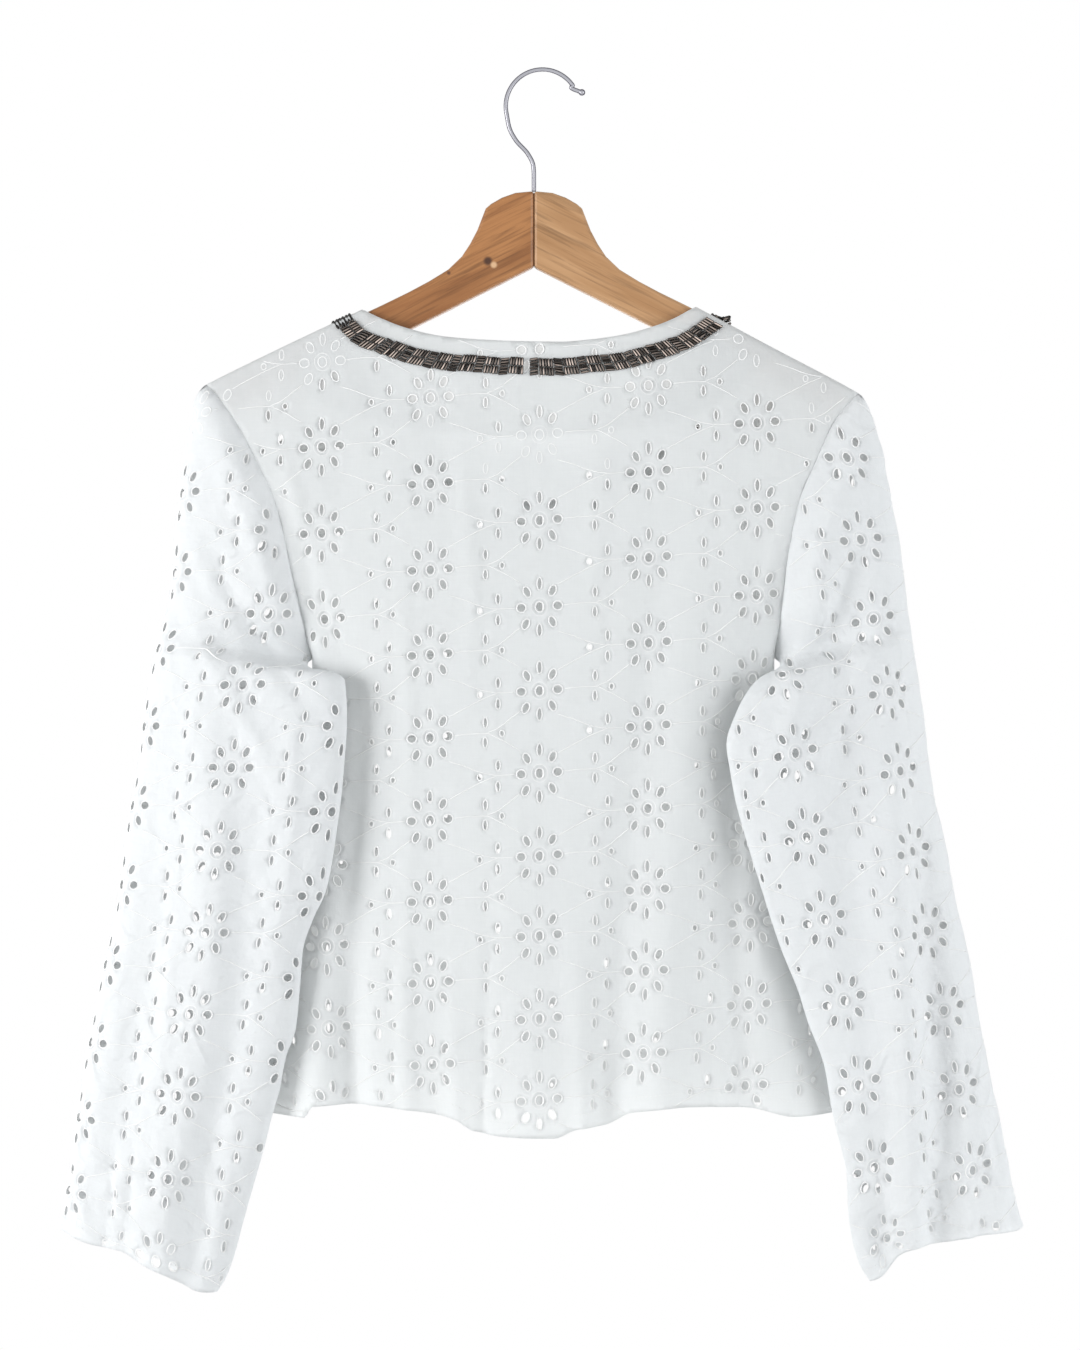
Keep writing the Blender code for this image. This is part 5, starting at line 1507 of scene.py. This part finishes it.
@dataclass
class Bodice:
    """The back and the two fronts, sewn together at the shoulders and down the sides."""

    finishes: Finishes
    stitch_up: float = 10.0
    hem_corner: float = 9.0
    front_corner: float = 150.0

    def __post_init__(self) -> None:
        """Forms the surfaces that the panels are cut from."""
        self.surfaces = {side: BodySurface(side) for side in Side}

    def border(self, side: Side, hand: Hand, neck_x: float) -> np.ndarray:
        """A panel's flat edge from the neck along the shoulder, down the armhole and the side seam."""
        surface = self.surfaces[side]
        tip = hand * ARMHOLE[hand][0][0]
        xs = np.linspace(neck_x, tip, round(abs(tip - neck_x) / EDGE_STEP))[1:]
        shoulder = surface.flat([(x, float(read(SHOULDER, x, "z"))) for x in xs])
        line = drawn(ARMHOLE[hand], EDGE_STEP)
        line = np.concatenate([line[0] + (line[1] - line[0]) * np.array(TIP_STEPS)[:, None], line[1:-1]])
        hole = surface.flat([(hand * out, z) for out, z in line])
        levels = np.arange(-ARMHOLE[hand][-1][1], -HEM_SIDE_Z, EDGE_STEP)
        return np.concatenate([shoulder, hole, [(surface.side_end(v, hand), v) for v in levels]])

    def rings(self, side: Side, hand: Hand, neck_x: float) -> list[np.ndarray]:
        """Lines beside the shoulder seam and the side seam, where the cloth turns."""
        surface = self.surfaces[side]
        tip = hand * ARMHOLE[hand][0][0]
        xs = np.linspace(neck_x, tip, round(abs(tip - neck_x) / RING_STEP))
        seam = [(x, float(read(SHOULDER, x, "z"))) for x in xs]
        lines = [surface.flat([(x, z - drop) for x, z in seam]) for drop in SHOULDER_RINGS]
        levels = np.arange(-ARMHOLE[hand][-1][1], -HEM_SIDE_Z, RING_STEP)
        ends = np.array([surface.side_end(v, hand) for v in levels])
        return lines + [np.stack([ends - hand * step, levels], axis=1) for step in SIDE_RINGS]

    def back(self) -> None:
        """Makes the back."""
        surface = self.surfaces[Side.BACK]
        left_end, right_end = (surface.side_end(-HEM_SIDE_Z, hand) for hand in Hand)
        us = (left_end, left_end + self.hem_corner, right_end - self.hem_corner, right_end)
        corners = [(u, -HEM_SIDE_Z) for u in us]
        hem = drawn([*corners[:2], *surface.flat(HEM_BACK), *corners[2:]], EDGE_STEP)
        necks = ((Hand.LEFT, NECK_BACK[0][0]), (Hand.RIGHT, NECK_BACK[-1][0]))
        left, right = (self.border(Side.BACK, hand, neck_x) for hand, neck_x in necks)
        outline = np.concatenate([surface.flat(drawn(NECK_BACK, EDGE_STEP)), right, hem[::-1], left[::-1]])
        rings = [ring for hand, neck_x in necks for ring in self.rings(Side.BACK, hand, neck_x)]
        self.make("back", surface, outline, rings, ["jacket_back"], hem)

    def front(self, hand: Hand) -> None:
        """Makes one front."""
        surface = self.surfaces[Side.FRONT]
        neck = surface.flat(drawn(NECK_FRONT[hand], EDGE_STEP))
        middle = neck[-1]
        down = [(middle[0], v) for v in np.arange(middle[1], -HEM_FRONT_Z, EDGE_STEP)[1:]]
        end = surface.side_end(-HEM_SIDE_Z, hand)
        corner = (hand * self.front_corner, -HEM_SIDE_Z)
        hem = drawn([(middle[0], -HEM_FRONT_Z), corner, (end, -HEM_SIDE_Z)], EDGE_STEP)
        border = self.border(Side.FRONT, hand, NECK_FRONT[hand][0][0])
        outline = np.concatenate([neck, down, hem, border[::-1]])
        rings = self.rings(Side.FRONT, hand, NECK_FRONT[hand][0][0])
        word = hand.name.lower()
        self.make(f"front_{word}", surface, outline, rings, [f"jacket_front_{word}"], hem)

    def make(
        self,
        name: str,
        surface: BodySurface,
        outline: np.ndarray,
        rings: list[np.ndarray],
        nodes: list[str],
        hem: np.ndarray,
    ) -> None:
        """Embroiders, hems and builds one panel."""
        cloth = Cloth(name, surface, outline, rings, nodes, ["hanger_arm_left", "hanger_arm_right"])
        cloth.embroider(Lattice.of_body(surface.side))
        cloth.stitches(hem - (0, self.stitch_up))
        cloth.build(self.finishes.cotton, self.finishes.thread, "cotton")


@dataclass
class Sleeve:
    """One long set-in sleeve, cut in one and closed along the underarm."""

    hand: Hand
    bodice: Bodice
    stitch_up: float = 9.0
    top_points: int = 6
    rings_above: float = 20.0

    def build(self) -> None:
        """Makes the sleeve."""
        surface = SleeveSurface(self.hand, self.bodice.surfaces)
        last, cap = surface.back.last, surface.back.cap
        levels = np.unique(np.concatenate([np.arange(0, last, EDGE_STEP), TIP_LEVELS, [cap, last]]))
        back, front = (np.stack([surface.edge(levels, side), levels], axis=1) for side in Side)
        cuff = np.linspace(back[-1], front[-1], round((back[-1] - front[-1])[0] / EDGE_STEP))
        top = np.linspace(front[0], back[0], self.top_points)[1:-1]
        outline = np.concatenate([top, back[:-1], cuff, front[-2::-1]])
        below = levels[levels > cap - self.rings_above]
        fold = [0.0, *(sign * ring for ring in SIDE_RINGS for sign in (1, -1))]
        lines = [np.stack([np.full(len(levels), step), levels], axis=1) for step in fold]
        for step in SIDE_RINGS:
            lines += [np.stack([surface.edge(below, side) + side * step, below], axis=1) for side in Side]
        word = self.hand.name.lower()
        nodes = [f"sleeve_{word}_back", f"sleeve_{word}_front"]
        cloth = Cloth(f"sleeve_{word}", surface, outline, lines, nodes, ["back", f"front_{word}"])
        cloth.embroider(Lattice.of_sleeve(surface))
        cloth.stitches(cuff - (0, self.stitch_up))
        cloth.build(self.bodice.finishes.sleeve_cotton, self.bodice.finishes.thread, "cotton")


@dataclass
class NeckFacing:
    """Plain cotton inside the back of the neck, which whitens the eyelets there."""

    bodice: Bodice
    depth: float = 0.75
    thickness: float = 0.4

    def build(self) -> None:
        """Makes the facing."""
        surface = self.bodice.surfaces[Side.BACK]
        neck = [point for point in NECK_BACK if FACING_NECK[0] <= point[0] <= FACING_NECK[1]]
        lower = surface.flat(drawn(FACING_LOWER, EDGE_STEP))
        outline = np.concatenate([surface.flat(drawn(neck, EDGE_STEP)), lower[::-1]])
        cloth = Cloth("neck_facing", surface, outline, [], ["neck_facing_back"], ["back"])
        finishes = self.bodice.finishes
        cloth.build(finishes.plain_cotton, finishes.thread, "plain_cotton", self.depth, self.thickness)


@dataclass
class BeadTrim:
    """A band of bugle beads round the neck: stacks that lie along it, and double rows that stand across."""

    bodice: Bodice
    radius: float = 0.92
    height: float = 1.2
    stack_wide: float = 6.3
    stacked: int = 6
    pitch: float = 1.98
    standing: int = 5
    spare: float = 0.25
    block_gap: float = 0.35
    uneven: float = 0.55
    # How strong the painted highlight is in the lying and in the standing beads.
    stack_highlight: float = 0.45
    standing_highlight: float = 1.0
    shorter: float = 0.2
    slack: float = 0.15
    tone_spread: tuple[float, float] = (1.1, 1.3)
    rise_spread: tuple[float, float] = (-0.1, 0.15)
    profile: Points = ((0, 0.72), (0.05, 1), (0.95, 1), (1, 0.72))
    line_step: float = 1.0
    seed: int = 7
    sides: int = 8

    def lines(self, side: Side, hand: Hand | None) -> tuple[np.ndarray, np.ndarray]:
        """The near and far edges of the band on one panel, as flat positions."""
        surface = self.bodice.surfaces[side]
        neck = surface.flat(NECK_BACK if hand is None else NECK_FRONT[hand])
        towards = 1 if hand is None else -hand
        edges = []
        for index, distance in enumerate((TRIM_NEAR, TRIM_FAR)):
            edge = beside(neck, towards * distance)
            ends = {end: TRIM_ENDS[end][index] for end in Hand}
            seam = {end: surface.flat([(x, float(read(SHOULDER, x, "z")))])[0] for end, x in ends.items()}
            if hand is None:
                edge[0], edge[-1] = seam[Hand.LEFT], seam[Hand.RIGHT]
            else:
                edge[0], edge[-1] = seam[hand], neck[-1] + (0, distance)
            edges.append(drawn([tuple(point) for point in edge], self.line_step))
        return edges[0], edges[1]

    def build(self, name: str, node: str, side: Side, hand: Hand | None, runs: Points) -> None:
        """Makes the beads on one panel.

        Args:
            name: The piece's name.
            node: The CAD node that it stands for.
            side: Which face of the jacket.
            hand: Which front, or None on the back.
            runs: Where unbroken runs of beads start and end, as shares of the band's length.
        """
        near, far = self.lines(side, hand)
        length = sum(np.linalg.norm(np.diff(line, axis=0), axis=1).sum() for line in (near, far)) / 2
        chance = np.random.default_rng(self.seed)
        spots: list[list[np.ndarray]] = []
        tones: list[float] = []
        wide = TRIM_FAR - TRIM_NEAR

        def flat(along: float, across: float) -> np.ndarray:
            """The flat position at a distance along the band and across it."""
            ends = []
            for line in (near, far):
                place = np.clip(along / length, 0, 1) * (len(line) - 1)
                ends.append(np.array([np.interp(place, np.arange(len(line)), column) for column in line.T]))
            return ends[0] + (ends[1] - ends[0]) * across / wide

        def bead(start: tuple[float, float], end: tuple[float, float], bright: float) -> None:
            """Plans a bead between two places along and across the band, whose painted highlight is strong by
            a share.
            """
            slack = chance.uniform(-self.slack, self.slack, 4)
            places = np.array([*start, *end]) + slack
            spots.append([flat(*places[:2]), flat(*places[2:])])
            # The bead's painted highlight: strong by its share, and by chance.
            tones.append(bright * chance.beta(*self.tone_spread))

        for start, end in runs:
            at, stop = start * length, end * length
            while at < stop - self.pitch:
                high, lean = chance.uniform(-self.uneven, self.uneven, 2)
                if at + self.stack_wide <= stop:
                    first, last = at + self.shorter, at + self.stack_wide - self.shorter
                    for row in range(self.stacked):
                        level = (row + 0.5) * (wide / self.stacked) + high
                        bead((first, level - lean), (last, level + lean), self.stack_highlight)
                at += self.stack_wide + self.spare
                high, lean = chance.uniform(-self.uneven, self.uneven, 2)
                for column in range(self.standing):
                    place = at + (column + 0.5) * self.pitch
                    level = high + lean * (column / (self.standing - 1) - 0.5)
                    if place < stop:
                        for row in range(2):
                            first = level + row * wide / 2 + self.shorter
                            last = level + (row + 1) * wide / 2 - self.shorter
                            bead((place, first), (place, last), self.standing_highlight)
                at += self.standing * self.pitch + self.block_gap
        plan = self.beads(np.array(spots), tones, self.bodice.surfaces[side], chance)
        made = plan.build(name, self.bodice.finishes.beads)
        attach(made, "root")
        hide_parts(node)
        LOG.info("%s: %d beads over %.0f mm", name, len(spots), length)

    def beads(
        self, spots: np.ndarray, tones: Sequence[float], surface: Surface, chance: np.random.Generator
    ) -> MeshParts:
        """Tubes of glass that lie on a surface.

        Args:
            spots: The flat positions of each bead's two ends.
            tones: How strong the painted highlight of each is.
            surface: The surface that they lie on.
            chance: What makes them differ a little.

        Returns:
            The beads' mesh.
        """
        parts = MeshParts()
        rise = self.height + chance.uniform(*self.rise_spread, (len(spots), 1))
        outward = surface.normal(spots[..., 0], spots[..., 1]).mean(axis=1)
        turn = np.linspace(0, 2 * math.pi, self.sides, endpoint=False)
        ends = surface.lifted(spots, np.repeat(rise, 2, axis=1))
        for (first, last), out, tone in zip(ends, outward, tones):
            run = last - first
            axis = run / np.linalg.norm(run)
            across = np.cross(axis, out)
            across /= np.linalg.norm(across)
            ring = np.cos(turn)[:, None] * np.cross(across, axis) + np.sin(turn)[:, None] * across
            points = np.stack([first + run * at + ring * self.radius * size for at, size in self.profile])
            parts.add(points, tube(len(self.profile), self.sides), tone=tone)
        return parts


@dataclass
class Hanger:
    """The wooden hanger, whose arms stay as the CAD has them, and its bent wire hook."""

    finishes: Finishes
    radius: float = 1.5
    bend: float = 25.3
    centre: tuple[float, float] = (0.0, -23.8)
    bend_turn: tuple[float, float] = (192, 34)
    bend_points: int = 40
    ball: float = 2.3
    ball_out: float = 0.8
    ball_turn: float = 88
    ball_rings: int = 12
    sides: int = 20
    step: float = 0.7
    joint: tuple[float, float, float] = (-5.9, -84.0, -134.6)
    joint_wide: float = 0.55
    joint_deep: float = 9.6

    def build(self) -> None:
        """Dresses the arms, fills the joint between them, and makes the hook."""
        self.glue()
        for hand in Hand:
            word = hand.name.lower()
            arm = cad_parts[f"hanger_arm_{word}"]
            arm.data.materials.clear()
            arm.data.materials.append(self.finishes.wood[hand])
        line = drawn(self.path(), self.step)
        radii = np.full(len(line), self.radius)
        run = (line[-1] - line[-2]) / np.linalg.norm(line[-1] - line[-2])
        start = -math.degrees(math.acos(self.radius / self.ball))
        turn = np.radians(np.linspace(start, self.ball_turn, self.ball_rings))
        line = np.concatenate([line, line[-1] + run * self.ball * (self.ball_out + np.sin(turn))[:, None]])
        radii = np.concatenate([radii, self.ball * np.cos(turn)])
        direction = np.gradient(line, axis=0)
        direction /= np.linalg.norm(direction, axis=1, keepdims=True)
        across = np.stack([-direction[:, 1], direction[:, 0]], axis=1)
        turn = np.linspace(0, 2 * math.pi, self.sides, endpoint=False)
        points = np.zeros((len(line), self.sides, 3))
        points[..., [0, 2]] = line[:, None] + across[:, None] * (radii[:, None] * np.cos(turn))[..., None]
        points[..., 1] = radii[:, None] * np.sin(turn)
        parts = MeshParts()
        parts.add(points, tube(len(line), self.sides))
        made = parts.build("hook", self.finishes.chrome)
        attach(made, "root")
        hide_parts("hanger_hook")
        LOG.info("hook: %d rings", len(line))

    def glue(self) -> None:
        """Makes the thin dark line of glue where the arms meet."""
        x, top, bottom = self.joint
        out, deep = self.joint_wide / 2, self.joint_deep / 2
        ring = np.array([(-out, -deep), (out, -deep), (out, deep), (-out, deep)])
        points = np.zeros((2, 4, 3))
        points[..., :2] = ring + (x, 0)
        points[..., 2] = [[bottom], [top]]
        parts = MeshParts()
        parts.add(points, tube(2, 4))
        made = parts.build("arm_joint", self.finishes.glue)
        made.data.shade_flat()
        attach(made, "root")

    def path(self) -> list[tuple[float, float]]:
        """The wire's middle line in x, z, from the wood up, round the bend and out to its tip."""
        turn = np.radians(np.linspace(*self.bend_turn, self.bend_points))
        x, z = self.centre
        bend = [(x + self.bend * math.cos(a), z + self.bend * math.sin(a)) for a in turn]
        return [*HOOK_STEM, *bend, *HOOK_NIB]


class Lamp(NamedTuple):
    """A square soft light: its place and size in metres, its watts and its colour."""

    name: str
    place: tuple[float, float, float]
    size: float
    watts: float
    colour: Colour


LAMPS = (
    Lamp("key", (-2.35, -1.15, -0.25), 1.1, 56.0, (1.0, 0.995, 0.995)),
    Lamp("fill", (2.25, -1.3, -0.35), 1.6, 38.0, (0.985, 0.99, 1.0)),
    Lamp("front", (0.2, 1.9, -1.35), 1.4, 26.0, (1.0, 0.99, 0.98)),
)


@dataclass
class Studio:
    """A white room with soft light, and the camera where the photo was taken, in metres."""

    distance: float = 2.4
    centre: tuple[float, float] = (-0.0017, -0.4163)
    tall: float = 0.9315
    floor_z: float = -1.5
    world_light: float = 0.55
    aim: tuple[float, float, float] = (0.0, 0.0, -0.42)
    sensor: float = 36
    sight: float = 30
    floor_radius: float = 1.5

    def build(self) -> None:
        """Makes the room, lights and camera."""
        scene = bpy.context.scene
        scene.view_settings.view_transform = "Standard"
        scene.view_settings.look = "None"
        self.room(scene)
        for lamp in LAMPS:
            self.light(lamp)
        camera = bpy.data.objects.new("camera", bpy.data.cameras.new("camera"))
        scene.collection.objects.link(camera)
        camera.location = (self.centre[0], -self.distance, self.centre[1])
        camera.rotation_euler = (math.pi / 2, 0, 0)
        camera.data.sensor_width = self.sensor
        camera.data.lens = self.sensor * self.distance / self.tall
        camera.data.clip_end = self.sight
        scene.camera = camera

    def room(self, scene: bpy.types.Scene) -> None:
        """White all round for the camera, a little darker and warmer as light, over a pale floor."""
        world = bpy.data.worlds.new("room")
        scene.world = world
        world.use_nodes = True
        graph = Graph(world.node_tree)
        seen = graph.add("ShaderNodeLightPath").outputs["Is Camera Ray"]
        lit, white = (
            graph.add("ShaderNodeBackground", {"Color": colour, "Strength": strength}).outputs[0]
            for colour, strength in (((0.985, 1, 1, 1), self.world_light), ((1, 1, 1, 1), 1.0))
        )
        both = graph.add("ShaderNodeMixShader", {0: seen, 1: lit, 2: white}).outputs[0]
        graph.add("ShaderNodeOutputWorld", {"Surface": both})
        place = (0, 0, self.floor_z)
        bpy.ops.mesh.primitive_circle_add(
            vertices=96, radius=self.floor_radius, fill_type="NGON", location=place
        )
        floor = bpy.context.object
        floor.name = "floor"
        floor.data.materials.append(FLOOR.build())

    def light(self, lamp: Lamp) -> None:
        """Adds a light that faces the jacket's middle."""
        data = bpy.data.lights.new(lamp.name, "AREA")
        data.size = lamp.size
        data.energy = lamp.watts
        data.color = lamp.colour
        made = bpy.data.objects.new(lamp.name, data)
        made.location = lamp.place
        made.rotation_euler = (Vector(self.aim) - made.location).to_track_quat("-Z", "Y").to_euler()
        bpy.context.scene.collection.objects.link(made)


def main() -> None:
    """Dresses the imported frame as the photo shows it."""
    logging.basicConfig(level=logging.INFO, format="%(name)s %(message)s")
    finishes = Finishes()
    bodice = Bodice(finishes)
    bodice.back()
    for hand in Hand:
        bodice.front(hand)
        Sleeve(hand, bodice).build()
    NeckFacing(bodice).build()
    trim = BeadTrim(bodice)
    trim.build("beads_back", "bead_trim_back", Side.BACK, None, BACK_BEAD_RUNS)
    for hand in Hand:
        word = hand.name.lower()
        trim.build(f"beads_front_{word}", f"bead_trim_front_{word}", Side.FRONT, hand, FRONT_BEAD_RUNS)
    Hanger(finishes).build()
    Studio().build()


if __name__ == "__main__":
    main()
